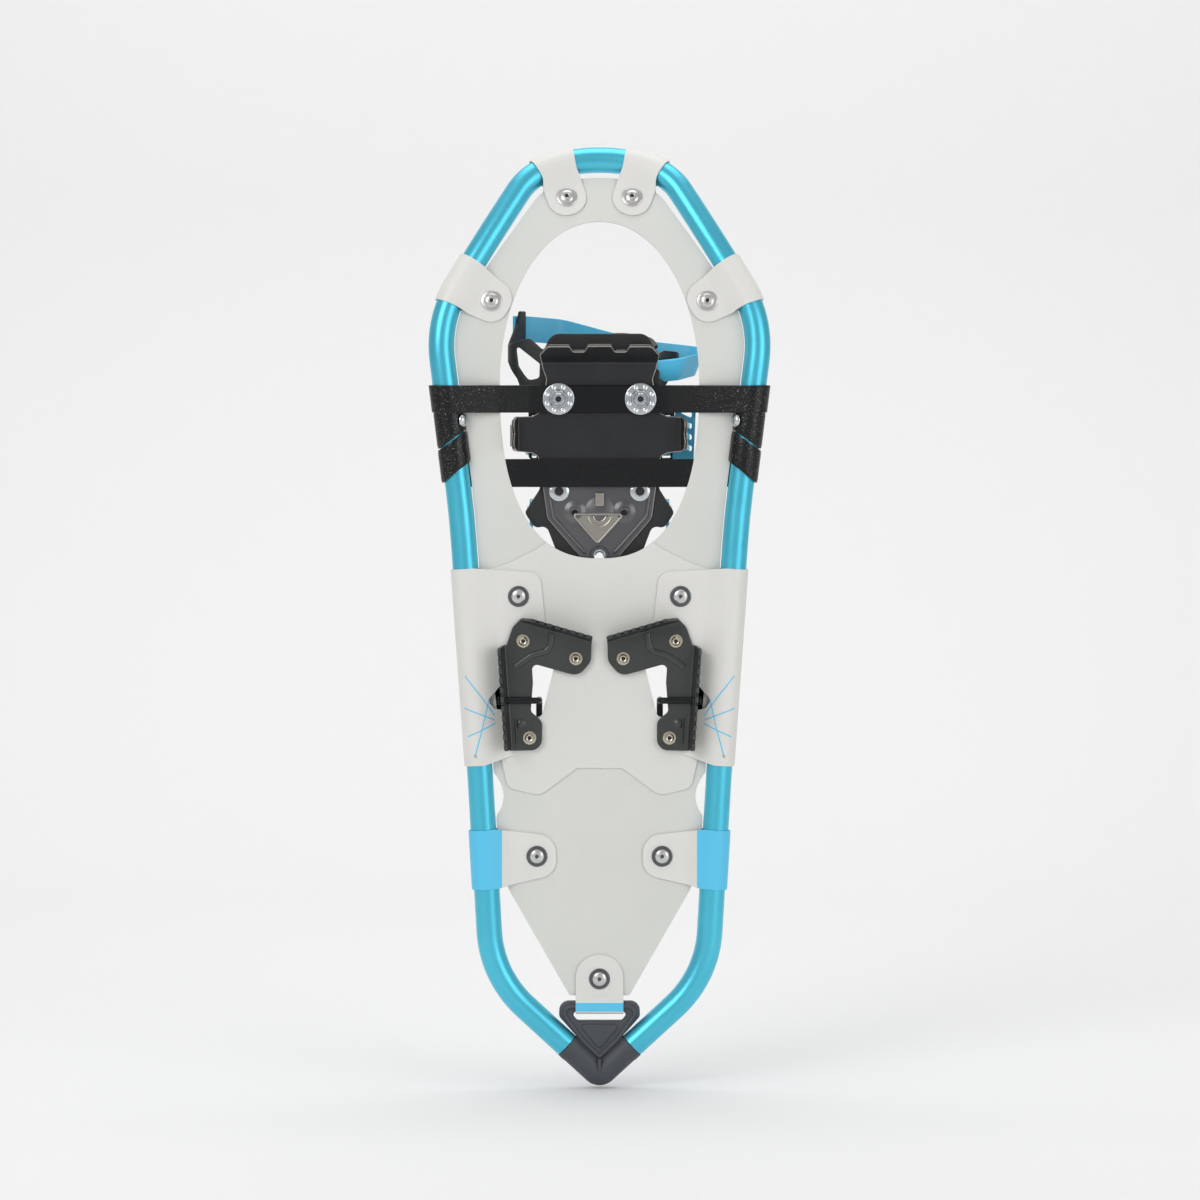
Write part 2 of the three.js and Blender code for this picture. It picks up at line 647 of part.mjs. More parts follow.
// The strap under the ball of the foot, with a sleeve bound round each tube.
function rearStrap() {
  const { z, width } = REAR_STRAP;
  const [low, high] = STRAP;
  const mid = (low + high) / 2;
  const inner = TUBE_R + FIT;
  const wall = disc(inner + 1.6, 16);
  wall.holes.push(new THREE.Path(ring(inner, 16)));
  const front = FRONT_STRAP.z - FRONT_STRAP.width / 2 - 0.6;
  const near = nearest([110, -172]);
  const sleeve = solid(sweep(wall, stretch(near.along - 30, near.along + 30).map(station)));
  const keep = plate(outline([[115, front, 0], [115, -191.5, 0], [99, -191.5, 0],
    [81, -179, 0], [70, -179, 0], [70, front, 0]]), [-20, 20]);
  const centre = tubeX(z);
  const r = inner + 1;
  const path = bend([
    [centre + 1, r, 0, 0], [centre - 5, r, 0, 6], [centre - 24, mid, 0, 14], [0, mid, 0, 0],
  ], false, 10).map((p) => new THREE.Vector2(p.x, p.y));
  const span = lengthwise(strip(path, high - low), z - width / 2, z + width / 2);
  const bore = solid(sweep(disc(inner, 16), stretch(near.along - 40, near.along + 40).map(station)));
  const pin = solid(new THREE.CylinderGeometry(1.7, 1.7, 40, 8).translate(0, -20, 0)
    .applyMatrix4(strapRivetMatrix()));
  const half = cut(join(sleeve.intersect(keep), span), bore, pin);
  const mirror = new THREE.Matrix4().makeScale(-1, 1, 1);
  return join(half, solid(flipFaces(geometryOf(half).toNonIndexed().applyMatrix4(mirror))));
}

// Holes for the small rivets in both sides of the tube.
function strapRivetHoles() {
  const hollow = () => new THREE.CylinderGeometry(1.7, 1.7, 14, 8).translate(0, -13, 0)
    .applyMatrix4(strapRivetMatrix());
  const mirror = new THREE.Matrix4().makeScale(-1, 1, 1);
  return [solid(hollow()), solid(flipFaces(hollow().toNonIndexed().applyMatrix4(mirror)))];
}

// Small rivet that pins the sleeve to the tube.
function strapRivet() {
  const r = TUBE_R + FIT + 1.6 + 0.35;
  const profile = [[0, -r - 1.4], [2.4, -r - 1.2], [3.4, -r], [1.4, -r], [1.4, -6.2], [0, -6.2]];
  return new THREE.LatheGeometry(profile.map((p) => new THREE.Vector2(...p)), 10)
    .applyMatrix4(strapRivetMatrix());
}

// ---- Binding ----

const bore = (x, z, r, heights = [-6, 20], count = 12) => plate(disc(r, count, x, z), heights);

function toeCrampon() {
  const plan = mirrored([
    [29, -117, 1], [33, -128, 3], [35, -140, 3], [37.5, -150, 3], [51.8, -151.2, 1], [51.8, -173, 1],
    [38, -175.5, 2], [37, -189, 3],
  ]);
  const [low, high] = TOE_PLATE;
  // Front wall with three broad teeth, leaning forwards from the front edge of the plate
  const half = 36;
  const height = 15;
  const tooth = [
    [-half, 0], [-half + 5, height - 1], [-18, height - 1], [-15, 9.5], [-9.5, 9.5], [-7, height],
  ];
  const front = [...tooth, ...tooth.map(([x, y]) => [-x, y]).reverse()];
  const shape = new THREE.Shape(front.map((p) => new THREE.Vector2(...p)));
  const lean = rad(50);
  const down = v3(0, -Math.sin(lean), Math.cos(lean));
  const matrix = new THREE.Matrix4().makeBasis(X, down, X.clone().cross(down));
  const apron = extrude(shape, 0, high - low).applyMatrix4(matrix).translate(0, high, -118.2);
  const wings = [1, -1].map((side) =>
    toothedWall([side * 52, side > 0 ? -173 : -151.2], [side * 52, side > 0 ? -151.2 : -173],
      2, [-9.5, high], 3, 3));
  const holder = [1, -1].map((side) => bore(side * BOLT_X, PIVOT.z, 4.2));
  return cut(join(plate(outline(plan), TOE_PLATE), solid(apron), ...wings), ...holder);
}

// Pressed V-shaped plate under the rear of the binding.
function clawPlate() {
  const plan = mirrored([[33, -172, 3], [35, -196, 4], [32.5, -214.5, 6], [12.5, -238, 4], [7, -246.5, 5]]);
  const [low, high] = CLAW_PLATE;
  const tongueOutline = outline([[3, -199, 1], [3, -207, 1], [-3, -207, 1], [-3, -199, 1]]);
  const tongue = plate(tongueOutline, [low - 2.6, low + 0.5]);
  const rib = [[14.5, low, -211.5], [-14.5, low, -211.5], [0, low, -227.5]];
  const ridges = rib.map((corner, i) =>
    solid(sweep(rectangle(1.6, 1.6), carried([corner, rib[(i + 1) % 3]], Y))));
  const corners = [-1, 1].map((side) => bore(side * 15.3, -211, 2.2, [-6, 20], 8));
  return cut(
    join(plate(outline(plan), CLAW_PLATE), tongue, ...ridges),
    ...corners, bore(0, EYELET_Z, 3.4), ...[-1, 1].map((side) => bore(side * SCREW[0], SCREW[1], 2.9)),
  );
}

// Moulded sole plate of the binding, with lugs for the heel strap.
function bindingBase() {
  const plan = mirrored([
    [30, -100, 8], [37, -116, 8], [38, -150, 8], [33, -180, 10], [37, -198, 6], [47, -211, 5],
    [41, -222, 5], [30, -222, 6], [23, -240, 8], [17, -271, 8],
  ]);
  const { x, y, z } = HEEL_HINGE;
  const lug = (side) => {
    const profile = bend([
      [BASE[0] + 2, z - 8, 0, 0], [BASE[0] + 2, z + 8, 0, 0], [y + 5, z + 6, 0, 5], [y + 5, z - 6, 0, 5],
    ], true, 25).map((p) => new THREE.Vector2(p.x, p.y));
    return across(new THREE.Shape(profile), side > 0 ? x - 3 : -x, side > 0 ? x : 3 - x);
  };
  const pin = solid(new THREE.CylinderGeometry(2.6, 2.6, 120, 12).rotateZ(Math.PI / 2).translate(0, y, z));
  const seats = [1, -1].map((side) =>
    plate(outline([[side * 13.5, -103], [side * 60, -103], [side * 60, -177], [side * 13.5, -177]]),
      [BASE_RECESS_Y, 20]));
  const toeSeat = plate(outline([[11, -94, 0], [11, -110.3, 0], [-11, -110.3, 0], [-11, -94, 0]]),
    [BASE_RECESS_Y, 20]);
  return cut(
    join(plate(outline(plan), BASE), lug(1), lug(-1)),
    pin, ...seats, toeSeat, bore(0, EYELET_Z, 3.4),
    ...[1, -1].map((side) => bore(side * BOLT_X, PIVOT.z, 4.2)),
    ...[1, -1].map((side) => bore(side * SCREW[0], SCREW[1], 2.9)),
  );
}

// Strap washer with a ring of eight dimples round its hub.
function strapWasher() {
  const profile = [[4.2, -1.9], [5.2, -1.9], [5.6, -1.2], [9.6, -1], [9.6, 0.4], [4.2, 0.4], [4.2, -1.9]];
  const washer = new THREE.LatheGeometry(profile.map((p) => new THREE.Vector2(...p)), 16)
    .translate(BOLT_X, 0, PIVOT.z);
  const dimples = Array.from({ length: 8 }, (_, i) => {
    const a = (Math.PI * (2 * i + 1)) / 8;
    return bore(BOLT_X + 7.6 * Math.cos(a), PIVOT.z + 7.6 * Math.sin(a), 1.2, [-3, -0.4], 6);
  });
  return cut(solid(washer), ...dimples);
}

// A round-headed fastener on the y axis with a hexagonal socket in its lower head.
function fastener(x, z, headR, shankR, [head, seat], [top, topR, topT]) {
  const profile = [
    [0, head], [headR * 0.8, head], [headR, head + 0.7], [headR, seat], [shankR, seat],
    [shankR, top], [topR, top], [topR, top + topT], [0, top + topT],
  ];
  const turned = new THREE.LatheGeometry(profile.map((p) => new THREE.Vector2(...p)), 14)
    .translate(x, 0, z);
  return cut(solid(turned), bore(x, z, headR * 0.45, [head - 1, head + 1.3], 6));
}

// Hollow eyelet through the rear of the claw plate.
function plateEyelet() {
  const [low, high] = [CLAW_PLATE[0], BASE[1]];
  const profile = [[2, low - 1.6], [5, low - 1.4], [6.2, low - 0.3], [3.1, low - 0.3], [3.1, high + 0.3],
    [5, high + 0.3], [4.6, high + 1.1], [2, high + 1.1], [2, low - 1.6]];
  return new THREE.LatheGeometry(profile.map((p) => new THREE.Vector2(...p)), 14)
    .translate(0, 0, EYELET_Z);
}

// Side arm: a foot clamped on the base and a wall bent up along the boot, cut to a plan,
// with a slot that the instep strap passes through.
function sideArm(wall, front, slot) {
  const foot = BASE_RECESS_Y + 1.4;
  const path = bend([[14, foot, 0, 0], [36, foot, 0, 8], ...wall], false, 12)
    .map((p) => new THREE.Vector2(p.x, p.y));
  const run = lengthwise(strip(path, 2.4), -182, -80);
  const edge = slot[1] + 1.8;
  const plan = outline([[10, front[0][1], 0], ...front, [edge, -149, 4], [edge, -178.5, 3],
    [37.8, -178.5, 2], [36.5, -176.6, 1], [10, -176.6, 0]]);
  return cut(
    run.intersect(plate(plan, [0, 60])),
    bore(BOLT_X, PIVOT.z, 4.2),
    plate(rectangleAt(slot, [-177.2, -150.8]), [0, 30]),
  );
}

// Left arm (built on the right): an open triangle that leans back in to hold the toe strap.
function openArm() {
  const front = [
    [26, -104, 5], [34, -111, 4], [46, -97.5, 8], [46.5, -86, 1], [50, -86, 1], [51.5, -93, 4],
    [58.5, -112, 5], [51, -128, 8],
  ];
  const eye = outline([[52.6, -109.5, 2], [50, -108.5, 2], [36.6, -119, 3], [37, -127.5, 3], [44, -129, 4],
    [51.3, -120, 4]]);
  const underTip = rectangleAt([43, 62], [-103.5, -80]);
  return cut(
    sideArm([[59.5, 21.5, 0, 9], [47, 45.5, 0, 0]], front, [39, 42.2]),
    plate(eye, [0, 60]), plate(underTip, [0, 22]),
  );
}

// Right arm: a short lug beside the boot.
function shortArm() {
  const front = [[30, -112, 2], [36, -113, 2], [40, -110.5, 2], [50.5, -112, 2], [50.5, -123, 2],
    [44, -127, 3], [38.5, -136, 4]];
  return sideArm([[47.5, 18.5, 0, 7], [48.5, 30, 0, 0]], front, [38.7, 44.4]);
}

// Ribbed wall in front of the boot toe.
function toeCup() {
  const side = bend([
    [BASE_RECESS_Y + 1.5, -110, 0, 0], [BASE_RECESS_Y + 1.5, -99, 0, 6], [42, -93, 0, 0],
  ], false, 14).map((p) => new THREE.Vector2(p.x, p.y));
  const wall = across(strip(side, 2.6), -60, 60);
  const front = outline([[-10.5, 4, 0], [-10.5, 16, 3], [-27, 22, 6], [-20, 35, 6], [12, 43, 12],
    [34, 33, 8], [36, 22, 4], [10.5, 16, 3], [10.5, 4, 0]]);
  const keep = solid(extrude(front, -120, -85));
  const rib = outline([[19, -97.6, 0], [19, -93.5, 0], [34, -90.8, 0], [34, -95, 0]]);
  const ribs = [-15, -3, 9, 21].map((x) => across(rib, x - 0.9, x + 0.9));
  return join(wall.intersect(keep), ...ribs);
}

// A flat strap swept along bent corners.
function webbing(corners, up, width, thickness, step = 12) {
  return solid(sweep(rectangle(width, thickness), carried(corners, up, step)));
}

// Toe strap: from the tip of the left arm over the toe of the boot and down under the right arm.
function toeStrap() {
  return webbing([
    [-53.6, 38.1, -97, 0], [-46.6, 51.5, -97, 8], [-24, 64, -99, 20], [24, 64, -114, 24],
    [58, 47, -122, 11], [51.4, 30, -125, 14], [51.2, 15.4, -126, 9], [45, 11, -126.5, 0],
  ], v3(-1, 0, 0), 15, 1.8);
}

// Instep strap: over the instep from one side of the base to the other.
function instepStrap() {
  const strap = webbing([
    [...INSTEP_FOOT, INSTEP_Z, 0], [...INSTEP_KNEE, INSTEP_Z, 14], [-26, 76, INSTEP_Z, 24],
    [32, 80, INSTEP_Z, 26], [58.5, 52, INSTEP_Z, 14], [39, 9.5, INSTEP_Z, 0],
  ], v3(-1, 0, 0), 24, 1.8);
  const slots = Array.from({ length: 4 }, (_, i) =>
    solid(new THREE.BoxGeometry(24, 2.6, 9).rotateX(rad(25)).translate(54, 23 + i * 7, INSTEP_Z)));
  return cut(strap, ...slots);
}

// Heel strap: a U round the back of the boot, hinged on the base lugs.
function heelStrap() {
  const { x, y, z } = HEEL_HINGE;
  const out = x + FIT + 1.2;
  const u = webbing([
    [out, y + 1.5, z + 7, 0], [out, y + 5, z - 22, 60], [out - 1, 40, -292, 22], [20, 46, -314, 20],
    [-20, 46, -314, 20], [1 - out, 40, -292, 22], [-out, y + 5, z - 22, 60], [-out, y + 1.5, z + 7, 0],
  ], v3(1, 0, 0), 14, 2, 10);
  const pin = new THREE.CylinderGeometry(2.6, 2.6, 130, 12).rotateZ(Math.PI / 2);
  return cut(u, solid(pin.translate(0, y, z)));
}

// Pin on which the heel strap turns.
function heelPin() {
  const { x, y, z } = HEEL_HINGE;
  const profile = [[0, x - 4.6], [4.4, x - 4.6], [4.4, x - 3.3], [2.2, x - 3.3], [2.2, x + 2.9],
    [4.6, x + 2.9], [4, x + 4.3], [0, x + 4.3]];
  return new THREE.LatheGeometry(profile.map((p) => new THREE.Vector2(...p)), 12)
    .rotateZ(-Math.PI / 2).translate(0, y, z);
}

// Puts a body made over the strap's outer face (x up the strap, y outwards) at the buckle's place.
function onInstep(geometry) {
  const [foot, knee] = [v3(...INSTEP_FOOT, INSTEP_Z), v3(...INSTEP_KNEE, INSTEP_Z)];
  const up = knee.clone().sub(foot).normalize();
  const out = v3(0, 0, 1).cross(up);
  const basis = new THREE.Matrix4().makeBasis(up, out, v3(0, 0, 1));
  const centre = foot.addScaledVector(up, BUCKLE.rise).addScaledVector(out, 2.2);
  return geometry.applyMatrix4(basis.setPosition(centre));
}

// Buckle on the left side of the instep strap: a floor and two cheeks that hold the lever pin.
function instepBuckle() {
  const { width, length, pinY } = BUCKLE;
  const ear = outline([
    [-length / 2, 0.5, 0], [length / 2, 0.5, 0], [length / 4, 8, 3], [-length / 4, 8, 3],
  ]);
  const cheeks = [-width / 2, width / 2 - 2].map((z) =>
    solid(onInstep(extrude(ear, z, z + 2))));
  const pin = new THREE.CylinderGeometry(1.7, 1.7, width * 2, 10).rotateX(Math.PI / 2);
  return cut(
    join(solid(onInstep(new THREE.BoxGeometry(length, 2, width))), ...cheeks),
    solid(onInstep(pin.translate(0, pinY, 0))),
  );
}

// Lever of the buckle: its pin, a short cam and a finger plate lying up the strap.
function instepLever() {
  const { width, pinY, reach } = BUCKLE;
  const half = width / 2 - 2 - FIT;
  const pin = new THREE.CylinderGeometry(1.3, 1.3, width - 0.6, 10).rotateX(Math.PI / 2);
  const side = outline([
    [-3, 3, 1], [3, 2.4, 1], [reach * 0.7, 5.2, 1], [reach, 5.4, 0.6],
    [reach, 7.2, 0.6], [3, 8, 2], [-3, 7.5, 2],
  ]);
  return join(
    solid(onInstep(pin.translate(0, pinY, 0))),
    solid(onInstep(extrude(side, -half, half))),
  );
}

// ---- Assembly ----

part("frame_tube", cut(frameTube(), ...strapRivetHoles()), MATERIAL.tube);
part("tail_cap", tailCap(), MATERIAL.cap);
part("deck", deck(), MATERIAL.deck);
part("deck_doubler", deckDoubler(), MATERIAL.deck);

pair("toe_tab", tab(TOE_RIVET, 12.4, 12), MATERIAL.tab);
pair("shoulder_tab", tab(SHOULDER_RIVET, 15.5, 11.8), MATERIAL.tab);
pair("tail_side_tab", tab(TAIL_SIDE_RIVET, 18.5, 12), MATERIAL.printedTab);
pair("side_tab", sideTab(), MATERIAL.tab);
part("tail_tab", tailTab(), MATERIAL.tab);

const SEAT = DECK[1] + FIT + TAB_T + 0.2;
pair("toe_rivet", stand(rivet(-SEAT - 1.2, SEAT + 1.4), TOE_RIVET), MATERIAL.rivet);
pair("shoulder_rivet", stand(rivet(-SEAT - 1.2, SEAT + 1.2), SHOULDER_RIVET), MATERIAL.rivet);
pair("side_rivet", stand(rivet(-3.2, SEAT), SIDE_RIVET), MATERIAL.rivet);
pair("tail_side_rivet", stand(rivet(-SEAT, SEAT), TAIL_SIDE_RIVET), MATERIAL.rivet);
part("tail_rivet", stand(rivet(-SEAT, SEAT), TAIL_RIVET), MATERIAL.rivet);

pair("heel_cleat", heelCleat(), MATERIAL.blackSteel);
for (const [name, at] of Object.entries(CLEAT_RIVETS)) {
  const top = name === "inner" ? DECK[1] + 0.2 : SEAT;
  pair("cleat_rivet_" + name, stand(rivet(CLEAT_PLATE[0] - 0.1, top, 4.3), at), MATERIAL.zinc);
}
part("heel_lift_bar", heelLiftBar(), MATERIAL.wire);

part("front_strap", frontStrap(), MATERIAL.strap);
part("rear_strap", rearStrap(), MATERIAL.strap);
pair("strap_rivet", strapRivet(), MATERIAL.zinc);

part("toe_crampon", toeCrampon(), MATERIAL.blackSteel);
part("claw_plate", clawPlate(), MATERIAL.greySteel);
part("binding_base", bindingBase(), MATERIAL.plastic);
pair("strap_washer", strapWasher(), MATERIAL.zinc);
pair("strap_bolt", fastener(BOLT_X, PIVOT.z, 4, 3, [-4.2, -2], [BASE_RECESS_Y + 2.9, 5, 2]), MATERIAL.zinc);
pair("plate_screw", fastener(...SCREW, 6.2, 2.5, [3, 5.2], [BASE[1] + 0.2, 5, 1.2]), MATERIAL.zinc);
part("plate_eyelet", plateEyelet(), MATERIAL.zinc);
part("arm_right", shortArm(), MATERIAL.plastic);
part("arm_left", openArm(), MATERIAL.plastic).scale.x = -1;
part("toe_cup", toeCup(), MATERIAL.plastic);
part("toe_strap", toeStrap(), MATERIAL.blueStrap);
part("instep_strap", instepStrap(), MATERIAL.blueStrap);
part("instep_buckle", instepBuckle(), MATERIAL.plastic);
part("instep_lever", instepLever(), MATERIAL.plastic);
part("heel_strap", heelStrap(), MATERIAL.blueStrap);
pair("heel_pin", heelPin(), MATERIAL.zinc);

body.position.copy(roll(0, 0, unroll(TOE_Z))).negate().add(v3(0, 0, TOE_Z));
export default snowshoe;
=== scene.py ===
# Looks of the snowshoe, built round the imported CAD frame.
# Shapes are laid out flat in millimetres (x right, y boot side, s towards the toe) and placed in
# metres. The frame's pieces are rolled up at the toe like the real sheet, the binding's are not.
import math

import bmesh
import bpy
import numpy as np
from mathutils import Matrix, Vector


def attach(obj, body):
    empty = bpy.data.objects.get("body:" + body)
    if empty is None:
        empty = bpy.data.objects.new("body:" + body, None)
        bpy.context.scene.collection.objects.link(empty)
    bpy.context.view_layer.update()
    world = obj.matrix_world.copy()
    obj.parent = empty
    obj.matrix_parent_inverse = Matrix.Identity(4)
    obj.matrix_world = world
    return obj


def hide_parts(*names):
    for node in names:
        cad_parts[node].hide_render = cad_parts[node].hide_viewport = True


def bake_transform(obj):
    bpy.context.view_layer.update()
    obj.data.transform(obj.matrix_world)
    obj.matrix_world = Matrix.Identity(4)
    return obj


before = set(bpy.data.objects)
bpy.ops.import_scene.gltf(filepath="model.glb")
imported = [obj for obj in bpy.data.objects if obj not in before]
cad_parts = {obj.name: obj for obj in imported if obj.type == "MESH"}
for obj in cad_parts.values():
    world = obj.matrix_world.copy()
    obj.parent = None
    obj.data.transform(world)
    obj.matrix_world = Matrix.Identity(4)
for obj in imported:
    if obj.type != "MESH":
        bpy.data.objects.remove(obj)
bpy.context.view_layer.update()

# ---------------------------------------------------------------- dimensions, mm
TUBE_R, WALL = 8.0, 1.2
ROLL_R, ROLL_Z, TOE_Z = 300.0, -130.0, 8.0
CORNERS = [(0, TOE_Z, 0), (14.6, TOE_Z, 80), (43.3, -0.7, 38), (100.3, -91.9, 71),
           (85.3, -212.7, 600), (74, -376, 800), (67, -499.5, 69), (20.4, -542.5, 0)]
APEX_Z = -561.3
PIVOT_Z = -140.4
TOE_RIVET, SHOULDER_RIVET = (20.3, -15.8), (66.8, -80.0)
SIDE_RIVET, TAIL_SIDE_RIVET, TAIL_RIVET = (50.2, -262.6), (38.9, -424.4), (0.0, -501.0)
CLEAT_RIVETS = [(47.3, -290.2), (14.7, -301.0), (43.4, -350.3)]
HEEL = (41.0, 21.0, -211.0)
INSTEP_Z = -164
CAMERA, TARGET = (0.0003, -3.130, -0.10), (0.0, -0.0336, -0.265)  # metres
# Heights of the snow-side and the boot-side face of each steel plate.
CLEAT_Y, CRAMPON_Y, CLAW_Y = (-5.2, -3.2), (3.05, 5.05), (5.4, 6.9)
STRAP_Y, STRAP_T, REAR_Z = 1.7, 2.0, -186.3
BOLT_X, EYELET_Z, SCREW = 25.4, -237.8, (25.1, -197.6)
BAR_Y, BAR_Z = -7.7, -327
LEG = 1.35  # height of a tab's legs above and below the deck
FOOT = 1.9  # height of the boot-side foot of a tab rivet


def unroll(z):
    return z if z <= ROLL_Z else ROLL_Z + ROLL_R * math.asin((z - ROLL_Z) / ROLL_R)


def rolled(points):
    """Flat points (x, y, s) on the rolled-up sheet, in deck coordinates."""
    p = np.asarray(points, float).reshape(-1, 3)
    a = np.clip((p[:, 2] - ROLL_Z) / ROLL_R, 0, None)
    base = np.minimum(p[:, 2], ROLL_Z)
    return np.stack([p[:, 0], ROLL_R - (ROLL_R - p[:, 1]) * np.cos(a),
                     base + (ROLL_R - p[:, 1]) * np.sin(a)], 1)


RISE = rolled([(0, 0, unroll(TOE_Z))])[0, 1]


# ---------------------------------------------------------------- outlines
def setbacks(pts, corners, closed):
    """Length that each rounded corner takes from its two sides, cut back where two meet."""
    n = len(pts)
    back, tans = np.zeros(n), np.ones(n)
    for i, c in enumerate(corners):
        if c[-1] == 0 or (not closed and i in (0, n - 1)):
            continue
        u, v = pts[i - 1] - pts[i], pts[(i + 1) % n] - pts[i]
        half = math.acos(np.clip(u @ v / np.linalg.norm(u) / np.linalg.norm(v), -1, 1)) / 2
        tans[i] = math.tan(half)
        back[i] = c[-1] / max(tans[i], 1e-6)
    scale = np.ones(n)
    for i in range(n if closed else n - 1):
        j = (i + 1) % n
        room = np.linalg.norm(pts[j] - pts[i]) * 0.999
        if back[i] + back[j] > room:
            k = room / (back[i] + back[j])
            scale[i], scale[j] = min(scale[i], k), min(scale[j], k)
    return back * scale * tans


def bend(corners, closed=False, step=6.0):
    """Corners (coordinates..., radius) joined by straight runs and tangent arcs."""
    pts = [np.array(c[:-1], float) for c in corners]
    radii = setbacks(pts, corners, closed)
    out, n = [], len(corners)
    for i, r in enumerate(radii):
        if r == 0:
            out.append(pts[i])
            continue
        u, v = pts[i - 1] - pts[i], pts[(i + 1) % n] - pts[i]
        u, v = u / np.linalg.norm(u), v / np.linalg.norm(v)
        half = math.acos(np.clip(u @ v, -1, 1)) / 2
        sweep = math.pi - 2 * half
        if sweep < 1e-3:
            out.append(pts[i])
            continue
        mid = (u + v) / np.linalg.norm(u + v)
        centre = pts[i] + mid * r / math.sin(half)
        side = (u - v) / np.linalg.norm(u - v)
        k = max(2, math.ceil(math.degrees(sweep) / step))
        for j in range(k + 1):
            a = -sweep / 2 + sweep * j / k
            out.append(centre - mid * r * math.cos(a) - side * r * math.sin(a))
    return np.array(out)


def both(corners):
    """Right-hand corners closed with their mirror image."""
    return list(corners) + [(-c[0],) + tuple(c[1:]) for c in reversed(corners) if c[0] > 0]


def ring(r, n=32, x=0.0, z=0.0):
    a = np.arange(n) * 2 * math.pi / n
    return np.stack([x + r * np.cos(a), z + r * np.sin(a)], 1)


def half_frame():
    pts = bend([(x, 0, unroll(z), r) for x, z, r in CORNERS], step=3)
    out = [pts[0]]
    for a, b in zip(pts, pts[1:]):
        k = max(1, math.ceil(np.linalg.norm(b - a) / 6))
        out += [a + (b - a) * (j + 1) / k for j in range(k)]
    return np.array(out)


HALF = half_frame()
ALONG = np.concatenate([[0], np.cumsum(np.linalg.norm(np.diff(HALF, axis=0), axis=1))])


def tube_at(d):
    """Centreline point and inward normal at a distance from the toe centre."""
    p = np.array([np.interp(d, ALONG, HALF[:, k]) for k in range(3)])
    q = np.array([np.interp(d + 2, ALONG, HALF[:, k]) - np.interp(d - 2, ALONG, HALF[:, k])
                  for k in range(3)])
    t = q / np.linalg.norm(q)
    return p, np.array([t[2], 0, -t[0]]), t


def nearest(x, z):
    gap = np.hypot(HALF[:, 0] - x, HALF[:, 2] - unroll(z))
    ds = np.linspace(ALONG[max(gap.argmin() - 1, 0)], ALONG[min(gap.argmin() + 1, len(ALONG) - 1)], 200)
    pts = np.array([tube_at(d)[0] for d in ds])
    g = np.hypot(pts[:, 0] - x, pts[:, 2] - unroll(z))
    return ds[g.argmin()], g.min()


def tube_x(z):
    k = HALF[:, 0] > 30
    return np.interp(-z, -HALF[k][:, 2], HALF[k][:, 0])


# ---------------------------------------------------------------- meshes
def weld(name, parts, roll=True, sharp=38.0):
    """One object from pieces: vertices in flat mm, faces and, if wanted, each face's material."""
    verts, faces, marks, base = [], [], [], 0
    for v, f, *mark in parts:
        verts.append(np.asarray(v, float).reshape(-1, 3))
        faces += [tuple(int(i) + base for i in face) for face in f]
        marks += mark[0] if mark else [0] * len(f)
        base += len(verts[-1])
    p = np.concatenate(verts)
    p = rolled(p) if roll else p
    p = (p - [0, RISE, 0]) / 1000
    mesh = bpy.data.meshes.new(name)
    mesh.from_pydata([tuple(q) for q in p], [], faces)
    mesh.polygons.foreach_set("material_index", marks)
    bm = bmesh.new()
    bm.from_mesh(mesh)
    bmesh.ops.remove_doubles(bm, verts=bm.verts, dist=1e-6)
    bmesh.ops.recalc_face_normals(bm, faces=bm.faces)
    for e in bm.edges:
        e.smooth = not (e.is_manifold and e.calc_face_angle(0) > math.radians(sharp))
    for f in bm.faces:
        f.smooth = True
    bm.to_mesh(mesh)
    bm.free()
    obj = bpy.data.objects.new(name, mesh)
    bpy.context.scene.collection.objects.link(obj)
    weighted = obj.modifiers.new("weighted", "WEIGHTED_NORMAL")
    weighted.keep_sharp = True
    return obj


def mirror(parts):
    return [(np.asarray(v, float).reshape(-1, 3) * [-1, 1, 1], [tuple(reversed(f)) for f in fs], *mark)
            for v, fs, *mark in parts]


def sliced(bm, cuts):
    """Cuts a mesh lying in the x-y plane along lines: a point, a direction across and the steps."""
    for (x, y), (mx, my), steps in cuts:
        for k in steps:
            geom = bm.verts[:] + bm.edges[:] + bm.faces[:]
            bmesh.ops.bisect_plane(bm, geom=geom, plane_co=(x + mx * k, y + my * k, 0),
                                   plane_no=(mx, my, 0), dist=1e-5)


def grid(axis, steps):
    return (0, 0), ((1, 0) if axis == "x" else (0, 1)), steps


